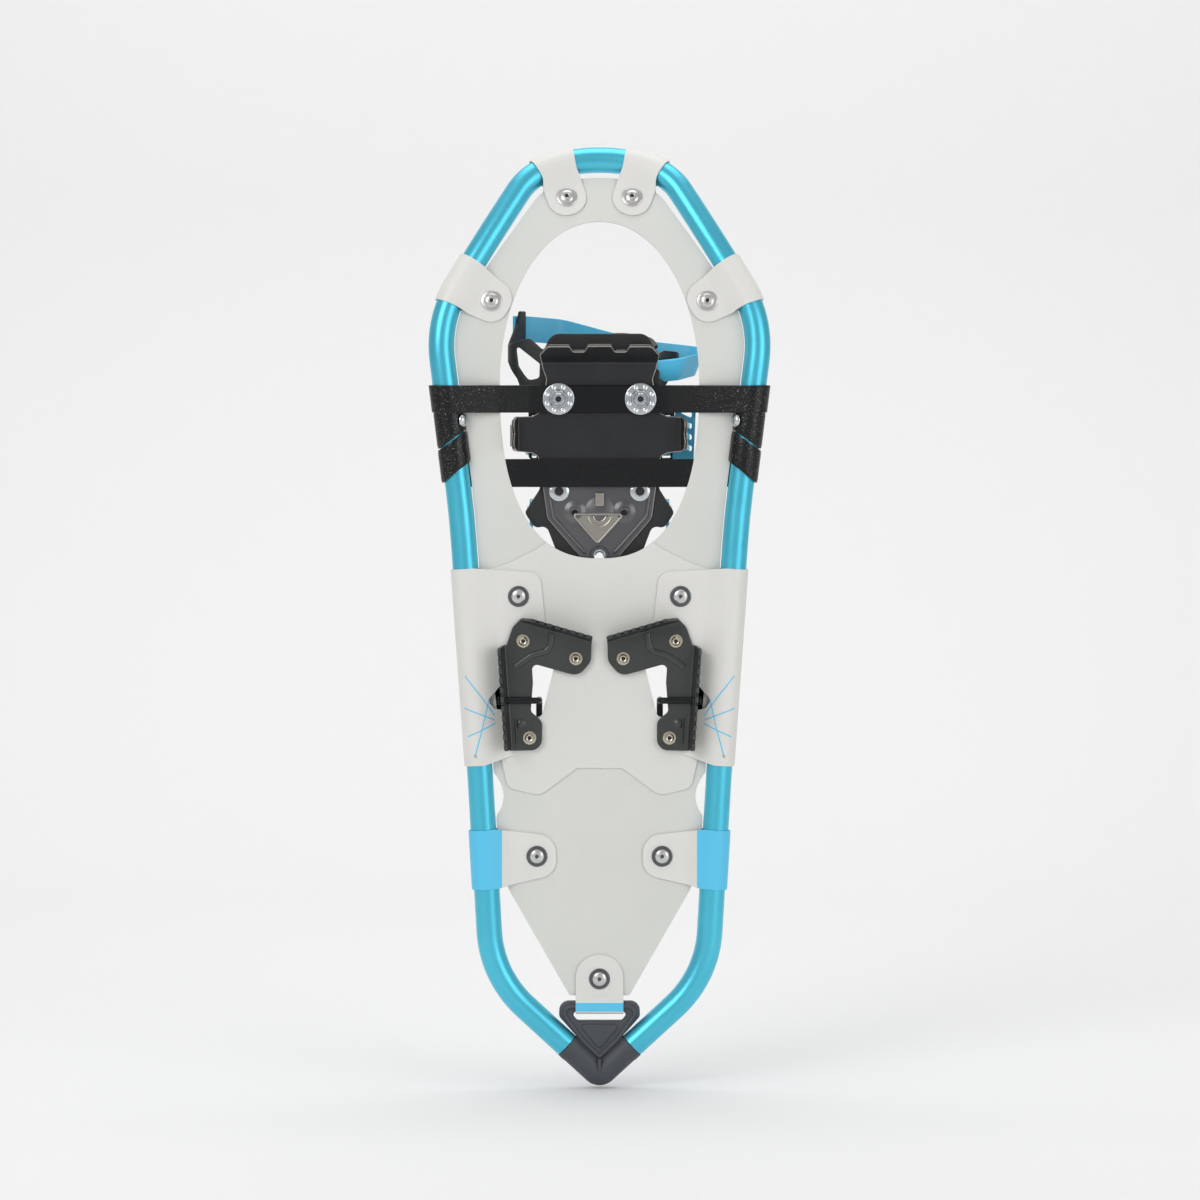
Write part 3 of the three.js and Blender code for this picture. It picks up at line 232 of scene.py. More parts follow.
def flat(outline, low, high, holes=(), edge=0.25, cuts=()):
    """A plate with rounded edges from a plan outline (x, z), its rounded edges marked 1."""
    curve = bpy.data.curves.new("flat", "CURVE")
    curve.dimensions, curve.fill_mode = "2D", "BOTH"
    for loop in [outline, *holes]:
        s = curve.splines.new("POLY")
        s.points.add(len(loop) - 1)
        s.points.foreach_set("co", np.column_stack([loop, np.zeros(len(loop)), np.ones(len(loop))]).ravel())
        s.use_cyclic_u = True
    edge = min(edge, (high - low) / 2 - 0.01)
    curve.bevel_depth, curve.bevel_resolution, curve.offset = edge, 2, -edge
    curve.extrude = (high - low) / 2 - edge
    obj = bpy.data.objects.new("flat", curve)
    bpy.context.scene.collection.objects.link(obj)
    bpy.context.view_layer.update()
    mesh = bpy.data.meshes.new_from_object(obj.evaluated_get(bpy.context.evaluated_depsgraph_get()))
    bm = bmesh.new()
    bm.from_mesh(mesh)
    bmesh.ops.remove_doubles(bm, verts=bm.verts, dist=1e-4)
    for face in bm.faces:
        face.material_index = int(0.05 < abs(face.normal.z) < 0.97)
    sliced(bm, cuts)
    bm.verts.index_update()
    v = np.array([w.co for w in bm.verts])
    f = [tuple(w.index for w in face.verts) for face in bm.faces]
    marks = [face.material_index for face in bm.faces]
    bm.free()
    bpy.data.objects.remove(obj)
    bpy.data.curves.remove(curve)
    bpy.data.meshes.remove(mesh)
    return np.stack([v[:, 0], v[:, 2] + (low + high) / 2, v[:, 1]], 1), f, marks


def laid(path, outline, low_high, holes=(), edge=0.6, step=1.5, place=lambda a, b, w: (a, b, w)):
    """A plate of plan (u, w) bent so that u follows a path (a, b) seen edge on."""
    path = np.asarray(path, float)
    run = np.concatenate([[0], np.cumsum(np.linalg.norm(np.diff(path, axis=0), axis=1))])
    v, f, marks = flat(outline, *low_high, holes, edge, [grid("x", np.arange(1, run[-1], step))])
    u, t, w = v.T
    da, db = (np.interp(u + 0.5, run, path[:, k]) - np.interp(u - 0.5, run, path[:, k]) for k in (0, 1))
    size = np.hypot(da, db)
    a, b = np.interp(u, run, path[:, 0]) - db / size * t, np.interp(u, run, path[:, 1]) + da / size * t
    return np.stack(place(a, b, w), 1), f, marks


def length(path):
    return float(np.linalg.norm(np.diff(path, axis=0), axis=1).sum())


def marked(part):
    """The same piece in the object's second material."""
    return part[0], part[1], [1] * len(part[1])


def sweep(section, path, up=(0, 1, 0), caps=True, closed=False):
    """A closed section (a, b) carried along a path, a to the side of up and b along up."""
    path, section = np.asarray(path, float), np.asarray(section, float)
    n, k = len(path), len(section)
    tangents = np.roll(path, -1, 0) - np.roll(path, 1, 0) if closed else np.gradient(path, axis=0)
    verts, held = [], np.array(up, float)
    for i in range(n):
        t = tangents[i] / np.linalg.norm(tangents[i])
        held = held - (held @ t) * t
        held = held / np.linalg.norm(held)
        side = np.cross(held, t)
        verts.append(path[i] + section[:, :1] * side + section[:, 1:] * held)
    rows = n if closed else n - 1
    faces = [(i * k + j, i * k + (j + 1) % k, (i + 1) % n * k + (j + 1) % k, (i + 1) % n * k + j)
             for i in range(rows) for j in range(k)]
    if caps and not closed:
        faces += [tuple(reversed(range(k))), tuple(range((n - 1) * k, n * k))]
    return np.concatenate(verts), faces


def spin(profile, centre=(0, 0, 0), n=32, axis="y"):
    """A turned piece from (radius, height) points about a line through centre."""
    a = np.arange(n) * 2 * math.pi / n
    rows = []
    for r, h in profile:
        c, s, hh = r * np.cos(a), r * np.sin(a), np.full(n, h)
        rows.append(np.stack([c, hh, -s] if axis == "y" else [hh, c, s], 1))
    m = len(profile)
    faces = [(i * n + j, i * n + (j + 1) % n, (i + 1) * n + (j + 1) % n, (i + 1) * n + j)
             for i in range(m - 1) for j in range(n)]
    return np.concatenate(rows) + np.array(centre, float), faces


def rect(w, h, r=0.5):
    return bend([(-w / 2, -h / 2, r), (w / 2, -h / 2, r), (w / 2, h / 2, r), (-w / 2, h / 2, r)], True, 22)


def fold(part, at, way, r, angle, mid):
    """Folds what lies beyond a line in plan down towards the snow side."""
    v, f, marks = part
    v = np.array(v, float)
    m = np.array(way, float) / np.linalg.norm(way)
    d = (v[:, [0, 2]] - np.array(at, float)) @ m
    t = v[:, 1] - mid
    arc = r * angle
    th = np.clip(d, 0, arc) / r
    rest = np.clip(d - arc, 0, None)
    new_d = np.where(d > 0, (r + t) * np.sin(th) + rest * np.cos(angle), d)
    new_y = np.where(d > 0, mid - r + (r + t) * np.cos(th) - rest * np.sin(angle), v[:, 1])
    v[:, 0] += (new_d - d) * m[0]
    v[:, 2] += (new_d - d) * m[1]
    v[:, 1] = new_y
    return v, f, marks


def teeth(a, b, depth, count, cut_in=3.0, keep=0.4):
    """Points of a toothed edge that stands depth beyond the line from a to b, to its right."""
    a, b = np.array(a, float), np.array(b, float)
    t = (b - a) / np.linalg.norm(b - a)
    n = np.array([t[1], -t[0]])
    pitch, out = np.linalg.norm(b - a) / count, []
    for i in range(count):
        for u, h in ((0.02, depth - cut_in), (0.5 - keep / 2, depth), (0.5 + keep / 2, depth),
                     (0.98, depth - cut_in)):
            out.append(a + t * pitch * (i + u) + n * h)
    return out


# ---------------------------------------------------------------- materials
def srgb(r, g, b):
    return tuple(((c / 255) / 12.92 if c / 255 <= 0.04045 else ((c / 255 + 0.055) / 1.055) ** 2.4)
                 for c in (r, g, b)) + (1,)


def material(name, color, rough, metal=0.0, grain=0.0, scale=800.0, mottle=0.0, mottle_scale=25.0,
             fleck=None, **more):
    m = bpy.data.materials.new(name)
    m.use_nodes = True
    nodes, links = m.node_tree.nodes, m.node_tree.links
    shader = nodes["Principled BSDF"]
    base = srgb(*color)
    shader.inputs["Base Color"].default_value = base
    shader.inputs["Roughness"].default_value = rough
    shader.inputs["Metallic"].default_value = metal
    for key, value in more.items():
        shader.inputs[key.replace("_", " ")].default_value = value
    place = nodes.new("ShaderNodeTexCoord")
    if mottle:
        noise = nodes.new("ShaderNodeTexNoise")
        noise.inputs["Scale"].default_value = mottle_scale
        noise.inputs["Detail"].default_value = 4
        links.new(place.outputs["Object"], noise.inputs["Vector"])
        ramp = nodes.new("ShaderNodeValToRGB")
        ramp.color_ramp.elements[0].position, ramp.color_ramp.elements[1].position = 0.3, 0.7
        ramp.color_ramp.elements[0].color = tuple(c * (1 - mottle) for c in base[:3]) + (1,)
        ramp.color_ramp.elements[1].color = tuple(min(c * (1 + mottle), 1) for c in base[:3]) + (1,)
        links.new(noise.outputs["Fac"], ramp.inputs["Fac"])
        links.new(ramp.outputs["Color"], shader.inputs["Base Color"])
    if fleck:
        colour, amount, size = fleck
        spots = nodes.new("ShaderNodeTexNoise")
        spots.inputs["Scale"].default_value = size
        spots.inputs["Detail"].default_value = 2
        links.new(place.outputs["Object"], spots.inputs["Vector"])
        pick = nodes.new("ShaderNodeValToRGB")
        pick.color_ramp.elements[0].position, pick.color_ramp.elements[1].position = amount, amount + 0.02
        pick.color_ramp.elements[0].color, pick.color_ramp.elements[1].color = (0, 0, 0, 1), (1, 1, 1, 1)
        links.new(spots.outputs["Fac"], pick.inputs["Fac"])
        part, off, outward, blend = (nodes.new("ShaderNode" + kind)
                                     for kind in ("SeparateXYZ", "Math", "MapRange", "Mix"))
        off.operation, blend.data_type = "ABSOLUTE", "RGBA"
        links.new(place.outputs["Object"], part.inputs[0])
        links.new(part.outputs["X"], off.inputs[0])
        links.new(off.outputs[0], outward.inputs["Value"])
        for key, value in (("From Min", 0.05), ("From Max", 0.09), ("To Min", 0.06), ("To Max", 1.0)):
            outward.inputs[key].default_value = value
        share = nodes.new("ShaderNodeMath")
        share.operation = "MULTIPLY"
        links.new(pick.outputs["Color"], share.inputs[0])
        links.new(outward.outputs["Result"], share.inputs[1])
        links.new(share.outputs[0], blend.inputs["Factor"])
        blend.inputs["A"].default_value, blend.inputs["B"].default_value = base, srgb(*colour)
        links.new(blend.outputs["Result"], shader.inputs["Base Color"])
    if grain:
        fine = nodes.new("ShaderNodeTexNoise")
        fine.inputs["Scale"].default_value = scale
        fine.inputs["Detail"].default_value = 3
        links.new(place.outputs["Object"], fine.inputs["Vector"])
        bump = nodes.new("ShaderNodeBump")
        bump.inputs["Strength"].default_value = grain
        bump.inputs["Distance"].default_value = 0.0002
        links.new(fine.outputs["Fac"], bump.inputs["Height"])
        links.new(bump.outputs["Normal"], shader.inputs["Normal"])
    return m


def banded(name, axis, low, high):
    """The tab material with a blue band between two distances from the centre along an axis."""
    m = material(name, (221, 220, 216), 0.42, grain=0.2, scale=1500, mottle=0.02, mottle_scale=30)
    nodes, links = m.node_tree.nodes, m.node_tree.links
    place, part, off, above, below, both_sides, mix = (nodes.new("ShaderNode" + kind) for kind in (
        "TexCoord", "SeparateXYZ", "Math", "Math", "Math", "Math", "Mix"))
    off.operation, above.operation, below.operation = "ABSOLUTE", "GREATER_THAN", "LESS_THAN"
    both_sides.operation, mix.data_type = "MULTIPLY", "RGBA"
    above.inputs[1].default_value, below.inputs[1].default_value = low, high
    links.new(place.outputs["Object"], part.inputs[0])
    links.new(part.outputs[axis], off.inputs[0])
    links.new(off.outputs[0], above.inputs[0])
    links.new(off.outputs[0], below.inputs[0])
    links.new(above.outputs[0], both_sides.inputs[0])
    links.new(below.outputs[0], both_sides.inputs[1])
    links.new(both_sides.outputs[0], mix.inputs["Factor"])
    shader = nodes["Principled BSDF"]
    links.new(shader.inputs["Base Color"].links[0].from_socket, mix.inputs["A"])
    mix.inputs["B"].default_value = srgb(88, 198, 238)
    links.new(mix.outputs["Result"], shader.inputs["Base Color"])
    return m


TUBE = material("tube_blue", (84, 196, 222), 0.3, 0.72, grain=0.25, scale=2500, mottle=0.03,
                mottle_scale=60)
DECK = material("deck_grey", (213, 214, 209), 0.5, grain=0.3, scale=1500, mottle=0.025, mottle_scale=18)
DOUBLER = material("doubler_grey", (217, 218, 213), 0.48, grain=0.3, scale=1500, mottle=0.02,
                   mottle_scale=18)
TAB = material("tab_white", (221, 220, 216), 0.42, grain=0.2, scale=1500, mottle=0.02, mottle_scale=30)
SIDE_BAND = banded("tab_side_band", "X", 0.0605, 1.0)
TAIL_BAND = banded("tab_tail_band", "Z", 0.5156, 0.521)
PRINT = material("print_blue", (88, 198, 238), 0.4)
RIVET = material("rivet_bright", (205, 204, 202), 0.28, 0.85, grain=0.3, scale=900)
ZINC = material("zinc", (200, 205, 208), 0.22, 0.95, grain=0.25, scale=1200, mottle=0.06, mottle_scale=220)
BRASS = material("rivet_worn", (196, 186, 168), 0.25, 0.9)
CAP = material("cap_grey", (66, 70, 76), 0.5, grain=0.5, scale=1400, mottle=0.04, mottle_scale=60)
BLACK_STEEL = material("black_steel", (50, 51, 53), 0.34, 0.55, grain=0.3, scale=700, mottle=0.1,
                       mottle_scale=40)
CLEAT = material("cleat_steel", (72, 75, 74), 0.32, 0.6, grain=0.3, scale=600, mottle=0.12, mottle_scale=40)
GREY_STEEL = material("grey_steel", (104, 104, 107), 0.3, 0.75, grain=0.3, scale=700, mottle=0.08,
                      mottle_scale=35)
STRAP = material("strap_black", (11, 13, 16), 0.3, grain=0.4, scale=900, Specular_IOR_Level=0.3)
SPARKLE = material("strap_sparkle", (11, 13, 16), 0.3, grain=0.5, scale=900, Specular_IOR_Level=0.35,
                   fleck=((150, 148, 138), 0.66, 1500))
PLASTIC = material("plastic_black", (30, 31, 33), 0.45, grain=0.4, scale=1100)
BLUE = material("strap_blue", (86, 198, 238), 0.35, grain=0.15, scale=900, Subsurface_Weight=0.15,
                Subsurface_Scale=0.004)
WIRE = material("wire_black", (32, 33, 35), 0.3, 0.6, grain=0.3, scale=900)
# Grey of the real washers and the eyelet flange. The ringed rivets' bore floors also take it, as painted
# shade.
WASHER_AND_BORE_SHADE = material("washer_grey_and_bore_shade", (92, 95, 98), 0.35, 0.7, grain=0.25, scale=900)
# Dark colour for the floors of rivet bores and bolt sockets: painted shade in the recesses.
BORE_SHADE = material("bore_painted_shade", (34, 35, 37), 0.6, grain=0.2, scale=900)
# Light metal for the rounded edges of the toe crampon and claw plate: partly bare worn steel, partly painted
# highlight on the edges. The claw triangle is drawn wholly in it as painted highlight on its embossing.
EDGE_WEAR_AND_HIGHLIGHT = material("edge_wear_and_highlight", (170, 166, 158), 0.3, 0.9, grain=0.4, scale=700)


def show(name, parts, mat, body, nodes, edges=None, sharp=38.0):
    obj = weld(name, parts, body == "frame", sharp)
    obj.data.materials.append(mat)
    obj.data.materials.append(edges or mat)
    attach(obj, body)
    if nodes:
        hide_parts(*([nodes] if isinstance(nodes, str) else nodes))
    return obj


def pair(stem, parts, mat, body, node, edges=None, sharp=38.0):
    """The right-hand piece and its mirror image."""
    right = show(stem + "_right_look", parts, mat, body, node + "_right", edges, sharp)
    left = show(stem + "_left_look", mirror(parts), mat, body, node + "_left", edges, sharp)
    return right, left


# ---------------------------------------------------------------- frame tube and tail cap
def frame_tube():
    left = HALF[1:][::-1] * [-1, 1, 1]
    path = np.concatenate([left, HALF])
    outer = sweep(ring(TUBE_R, 40), path, caps=False)
    inner = sweep(ring(TUBE_R - WALL, 24)[::-1], path, caps=False)
    rims = []
    for end in (0, len(path) - 1):
        o = outer[0][end * 40:end * 40 + 40]
        lip = o + (path[end] - o) * (WALL / TUBE_R)
        rims.append((np.concatenate([o, lip]),
                     [(j, (j + 1) % 40, 40 + (j + 1) % 40, 40 + j) for j in range(40)]))
    show("tube_look", [outer, inner, *rims], TUBE, "frame", "frame_tube", sharp=60)


def tail_cap():
    x, z = CORNERS[-1][:2]
    run = np.array([x, 0, z - APEX_Z])
    mouth = np.linalg.norm(run)
    run /= mouth
    apex = np.array([0, 0, APEX_Z])
    a, b = apex + run * (mouth - 0.35), apex + run * (mouth - 0.35) * [-1, 1, 1]
    vee = sweep(ring(TUBE_R, 40), bend([(*a, 0), (*apex, 4), (*b, 0)], step=6))
    collar = [sweep(ring(TUBE_R + 0.25, 40),
                    np.array([apex + run * s * m for s in (mouth - 5, mouth - 0.4)]))
              for m in (np.array([1, 1, 1]), np.array([-1, 1, 1]))]
    web = bend(both([(24.9, -514.9, 6), (25.2, -524.5, 4), (14.3, -536.8, 1.5), (16, -546, 0),
                     (0.01, -561, 0)]), True)
    slot = bend(both([(18.5, -521.3, 2.2), (14, -527, 2.2)]), True)
    plate = flat(web, -3.6, 3.6, [slot], edge=1.6)
    rim = bend(both([(21.8, -518.2, 4), (21.8, -523.6, 3), (11.2, -538.5, 3.5), (0.01, -549.5, 2)]), True)
    bead = sweep(ring(1.5, 12), np.column_stack([rim[:, 0], np.full(len(rim), -3.4), rim[:, 1]]),
                 closed=True)
    ridge = sweep(ring(1.3, 12), np.array([(0, -7.0, -550.5), (0, -7.6, -556), (0, -6.0, -562.5)]))
    panel = flat(bend(both([(12.5, -529.3, 1.5), (3, -541, 2), (0.01, -544, 0)]), True), -4.9, -3.2,
                 edge=0.5)
    show("tail_cap_look", [vee, *collar, plate, bead, ridge, panel], CAP, "frame", "tail_cap")


# ---------------------------------------------------------------- deck
def opening():
    a = np.linspace(0, 2 * math.pi, 144, endpoint=False)
    c, s = np.cos(a), np.sin(a)
    reach, power = np.where(s > 0, 101.1, 107.3), np.where(s > 0, 2.05, 2.45)
    x = 61.7 * np.sign(c) * np.abs(c) ** (2 / power)
    z = -131.8 + reach * np.sign(s) * np.abs(s) ** (2 / power)
    return np.stack([x, [unroll(q) for q in z]], 1)


WINDOW = [(43, -299, 6), (70, -327, 3), (66, -332, 3), (36, -338.5, 4)]
HALF_WINDOW = [(43, -299, 6), (57, -313.5, 2), (57, -334, 2), (36, -338.5, 4)]


def window(side):
    return bend([(side * x, z, r) for x, z, r in [(28, -306, 4), *WINDOW]], True)


def holes(*points, r=2.2):
    return [ring(r, 16, x * k, unroll(z)) for x, z in points for k in ((1, -1) if x else (1,))]


def deck_outline():
    edge = []
    for d in np.arange(0, 640, 3.0):
        p, n, _ = tube_at(d)
        q = p + n * (8.5 + 4.1 * min(max((p[2] + 60) / 60, 0), 1))
        if q[2] < -433 and q[0] > 40:
            break
        if d == 0 or q[0] > 1:
            edge.append((q[0] - 5.3 * max(0, 1 - ((q[2] + 386) / 13.5) ** 2), q[2], 0))
    edge[0] = (0, edge[0][1], 0)
    return bend(both(edge + [(59.6, -437, 4), (56, -446, 9), (18.6, -511.5, 2)]), True)


def deck():
    cuts = [grid("z", np.arange(-136, 12, 3.5))]
    rivets = holes(TOE_RIVET, SHOULDER_RIVET, SIDE_RIVET, TAIL_SIDE_RIVET, TAIL_RIVET, *CLEAT_RIVETS)
    top = flat(deck_outline(), -0.5, 0.5, [opening(), window(1), window(-1), *rivets], 0.2, cuts)
    obj = show("deck_look", [top], DECK, "frame", "deck")


def doubler():
    notch = sorted((x, z) for x, z in opening() if z < -225 and 0 < x < 33)
    right = [(39, -233.2, 8), (56, -241.8, 25), (72.5, -247.3, 3), (61, -364, 5), (57, -382, 7),
             (37, -386.5, 9), (14, -369.5, 14)]
    curve = bend([(0.01, -239.1, 0)] + [(x, z, 0) for x, z in notch] + right, step=5)
    outline = np.concatenate([curve, (curve * [-1, 1])[::-1]])
    body = flat(outline, -1.75, -0.6, [window(1), window(-1), *holes(SIDE_RIVET, *CLEAT_RIVETS)], 0.3)
    return show("doubler_look", [body], DOUBLER, "frame", "deck_doubler")


# ---------------------------------------------------------------- tabs
def wrap_path(low, high, e, reach):
    """Side view (n inwards, y) of a tab: lower leg, round the tube, upper leg."""
    r = TUBE_R + 0.35 + 0.5
    touch = lambda h: math.acos(r / math.hypot(e, h)) + math.atan2(h, e)
    a, b = touch(low), touch(high)
    arc = [(r * math.cos(t), r * math.sin(t)) for t in np.linspace(-a, -(2 * math.pi - b), 40)]
    legs = bend([(reach, -low, 0), (e, -low, 9), (*arc[0], 0)], step=4)[:-1]
    ends = bend([(*arc[-1], 0), (e, high, 9), (reach, high, 0)], step=4)[1:]
    pts = np.concatenate([legs, arc, ends])
    return pts, np.concatenate([[0], np.cumsum(np.linalg.norm(np.diff(pts, axis=0), axis=1))])


def wrapped(outline, pts, run, d0, hole_list=(), straight=True, between=(-0.5, 0.5)):
    """Maps a flat tab (u round the tube, v along it) onto its path."""
    total = run[-1]
    cuts = [grid("x", np.arange(1.5, total, 1.5)), grid("z", np.arange(-66, 67, 6.0))]
    v, f, _ = flat(outline, *between, hole_list, 0.3, cuts)
    u, t, w = v[:, 0], v[:, 1], v[:, 2]
    n = np.interp(u, run, pts[:, 0])
    y = np.interp(u, run, pts[:, 1])
    du = 0.6
    tn = np.interp(u + du, run, pts[:, 0]) - np.interp(u - du, run, pts[:, 0])
    ty = np.interp(u + du, run, pts[:, 1]) - np.interp(u - du, run, pts[:, 1])
    size = np.hypot(tn, ty)
    n, y = n - ty / size * t, y + tn / size * t
    out = np.zeros((len(v), 3))
    p0, n0, t0 = tube_at(d0)
    for i in range(len(v)):
        p, m, _ = tube_at(d0 + w[i])
        bent = p + m * n[i]
        if straight:
            s = p0 + n0 * n[i] + t0 * w[i]
            k = min(max((n[i] - 4) / 11, 0), 1)
            k = k * k * (3 - 2 * k)
            bent = bent * (1 - k) + s * k
        out[i] = bent + [0, y[i], 0]
    return out, f


def tab(at, half_width, end_r):
    d0, gap = nearest(*at)
    reach = gap + end_r
    pts, run = wrap_path(LEG, LEG, 17, reach)
    total = run[-1]
    leg = reach - 6
    side = [(0, end_r, end_r * 0.97), (leg, half_width, 4), (total - leg, half_width, 4),
            (total, end_r, end_r * 0.97)]
    outline = bend(side + [(u, -v, r) for u, v, r in reversed(side)], True)
    return wrapped(outline, pts, run, d0, [ring(2.2, 16, end_r, 0), ring(2.2, 16, total - end_r, 0)])


def side_tab():
    """Tab over the tube beside the heel, its legs cut away round the window of the lift bar."""
    d0, _ = nearest(90, -308)
    pts, run = wrap_path(2.45, LEG, 17, 60)
    total = run[-1]

    def plan(x, z, r):
        d, gap = nearest(x, z)
        return gap, d - d0, r

    leg = [[(46.0, -56.5, 8), (47.2, -20, 12), plan(33.3, -303.6, 2), *(plan(*q) for q in cut),
            (43.5, 43, 9), (33, 53, 5)]
           for cut in (WINDOW, HALF_WINDOW)]
    left = [(60 - n, v, r) for n, v, r in leg[0]]
    right = [(total - 60 + n, v, r) for n, v, r in reversed(leg[1])]
    outline = bend(left + [(57, 60.5, 6), (total - 57, 60.5, 6)] + right
                   + [(total - 57, -62, 6), (57, -62, 6)], True)
    eyes = []
    for x, z in [SIDE_RIVET, CLEAT_RIVETS[0], CLEAT_RIVETS[2]]:
        n, v, r = plan(x, z, 2.2)
        eyes += [ring(r, 16, 60 - n - 0.6, v), ring(r, 16, total - 60 + n, v)]
    cloth = wrapped(outline, pts, run, d0, eyes, straight=False)
    lines = []
    for a, b in (((49, 30), (66, 4)), ((49, 33), (68, 24)), ((49, 35), (67, 42)), ((52, 20), (63, 54))):
        a, b = np.array(a, float), np.array(b, float)
        off = 0.35 * np.array([b[1] - a[1], a[0] - b[0]]) / math.dist(a, b)
        band = np.concatenate([np.linspace(a, b, 12) + off, np.linspace(b, a, 12) - off])
        lines.append(marked(wrapped(band, pts, run, d0, straight=False, between=(0.4, 0.62))))
    return [cloth, *lines]


def tail_tab():
    path = bend([(-486, -LEG, 0), (-510.5, -LEG, 5), (-514.6, -4.8, 2.5), (-522.3, -4.8, 1.8),
                 (-522.3, 4.8, 1.8), (-514.6, 4.8, 2.5), (-510.5, LEG, 5), (-486, LEG, 0)], step=8)
    total = length(path)
    outline = bend([(0, -14.9, 14.4), (total, -14.9, 14.4), (total, 14.9, 14.4), (0, 14.9, 14.4)], True)
    eyes = [ring(2.2, 16, 15, 0), ring(2.2, 16, total - 15, 0)]
    return laid(path, outline, (-0.5, 0.5), eyes, 0.3, 1.2, lambda z, y, x: (x, y, z))


def rivet(at, low, high, r=6.5, ringed=True):
    """Tubular rivet: a washer on the snow side, a rolled head whose bore floor, in the second material, is
    painted shade, and a domed foot.
    """
    x, z = at
    c = (x, 0, unroll(z))
    disc = spin([(1.9, low), (r, low), (r, low - 0.4), (r * 0.93, low - 0.75), (r * 0.62, low - 0.85),
                 (1.9, low - 0.85)], c)
    head = spin([(1.15, low - 0.9), (1.3, low - 1.9), (1.9, low - 2.15), (r * 0.55, low - 1.8),
                 (r * 0.66, low - 1.2), (r * 0.66, low - 0.8), (1.9, low - 0.8)], c)
    # The bore floor is a flat disc in the second material: painted shade in the hollow.
    bore_shade_disc = spin([(0.0, low - 1.1), (1.2, low - 1.1)], c)
    foot = spin([(1.9, low), (1.9, high), (r * 0.8, high), (r * 0.78, high + 0.6), (r * 0.5, high + 1.2),
                 (0.0, high + 1.3)], c)
    return [marked(disc) if ringed else disc, head, marked(bore_shade_disc), foot]


# ---------------------------------------------------------------- heel cleats and lift bar
def heel_cleat():
    """Plate with two toothed walls folded down towards the snow."""
    mid = sum(CLEAT_Y) / 2
    a, b, c, d = (44.0, -280.4), (5.5, -291.6), (53.6, -357.5), (57.9, -293.5)
    plan = [(*p, 0.5) for p in teeth(a, b, 15.5, 8, 2.2, 0.5)]
    plan += [(4.9, -291.9, 1), (5.2, -303, 8), (13, -312, 8), (26, -308.5, 5), (35, -306, 3), (42, -304, 3),
             (41.2, -316, 3), (42.6, -334, 3), (35.6, -340, 6), (35.6, -358, 7), (52, -358.4, 1)]
    plan += [(*p, 0.5) for p in teeth(c, d, 15.5, 11, 1.8, 0.5)]
    plan += [(57.6, -292.6, 0.5), (53.8, -281.5, 6.5)]
    across = [np.array([q[1] - p[1], p[0] - q[0]]) / math.dist(p, q) for p, q in ((a, b), (c, d))]
    eye = np.array(c) + (np.array(d) - c) * (30.5 / 64) + across[1] * 3.7
    part = flat(bend(plan, True, 10), *CLEAT_Y,
                [ring(2.4, 20, *eye), *[ring(1.9, 14, *p) for p in CLEAT_RIVETS]], 0.5,
                [(q, m, np.linspace(0, 3.4, 8)) for q, m in zip((a, c), across)])
    for q, m in zip((a, c), across):
        part = fold(part, q, m, 2.4, math.radians(80), mid)
    bead = bend([(29.5, -285.5, 0), (31, -296, 6), (42, -299, 12), (52.5, -306.5, 0)], step=8)
    ridge = sweep(ring(1.9, 16) * [1, 0.6],
                  np.column_stack([bead[:, 0], np.full(len(bead), -5.1), bead[:, 1]]))
    bump = spin([(0.0, -6.3), (1.6, -6.15), (2.8, -5.5), (3.4, -5.1)], (48.9, 0, -341.7))
    crease = sweep(ring(0.7, 8), np.array([(51.4, -5.05, -354), (52.2, -5.05, -338)]))
    return [part, ridge, bump, crease]


def lift_bar():
    y, z, x, back = BAR_Y, BAR_Z, 37.5, BAR_Z - 60
    right = [(62.5, y, z, 0), (x, y, z, 3.4), (x, 5.8, z, 5), (x, 5.8, back, 9)]
    path = bend(right + [(-c[0],) + c[1:] for c in reversed(right)], step=7)
    ends = [spin([(0.0, -0.8), (2.6, -0.8), (3.0, 0), (2.6, 0.9), (0.0, 0.9)], (s * 62.2, y, z), 20, "x")
            for s in (1, -1)]
    show("lift_bar_look", [sweep(ring(2.0, 20), path, up=(0, 0, 1)), *ends], WIRE, "heel_lift_bar",
         "heel_lift_bar")


# ---------------------------------------------------------------- straps on the frame
def front_strap():
    """Two halves, each bending between the frame and the binding, and the lap over the middle."""
    z = PIVOT_Z
    cx, r = float(tube_x(z)), TUBE_R + 0.55 + 1
    angle = np.radians(np.linspace(-302, -76, 44))
    loop = np.stack([cx - r * np.cos(angle), r * np.sin(angle)], 1)
    tail = bend([(*loop[-1], 0), (63, -2.4, 30), (42, STRAP_Y, 30), (0.0, STRAP_Y, 0)], step=2)[1:]
    fine = [loop[0]]
    for a, b in zip([*loop, *tail], [*loop[1:], *tail]):
        k = max(1, math.ceil(math.dist(a, b) / 2.5))
        fine += [a + (b - a) * (j + 1) / k for j in range(k)]
    fine = np.array(fine)
    section = rect(17, STRAP_T, 0.7)
    v, f = sweep(section, np.column_stack([fine, np.full(len(fine), z)]), up=(-1, 0, 0))
    lean = np.repeat(np.clip((fine[:, 0] - (cx - 12)) / 8, 0, 1), len(section))
    v[:, 0] += lean * (v[:, 2] - z) * (tube_x(z - 8) - tube_x(z + 8)) / -16.0
    for side, name in ((1, "right"), (-1, "left")):
        obj = weld(f"front_strap_{name}_look", [(v * [side, 1, 1], f)], True, 50)
        obj.data.materials.append(SPARKLE)
        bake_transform(obj)
        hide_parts("front_strap")
    lap = [(-28, z + 8.2, 3), (33, z + 8.2, 4), (38.5, z + 1, 6), (38.5, z - 6.5, 3), (37, z - 8.2, 2),
           (-28, z - 8.2, 3)]
    patch = flat(bend(lap, True), -0.4, 0.75, [ring(4.1, 24, s * BOLT_X, z) for s in (1, -1)], 0.5)
    show("strap_overlap", [patch], STRAP, "binding", None)


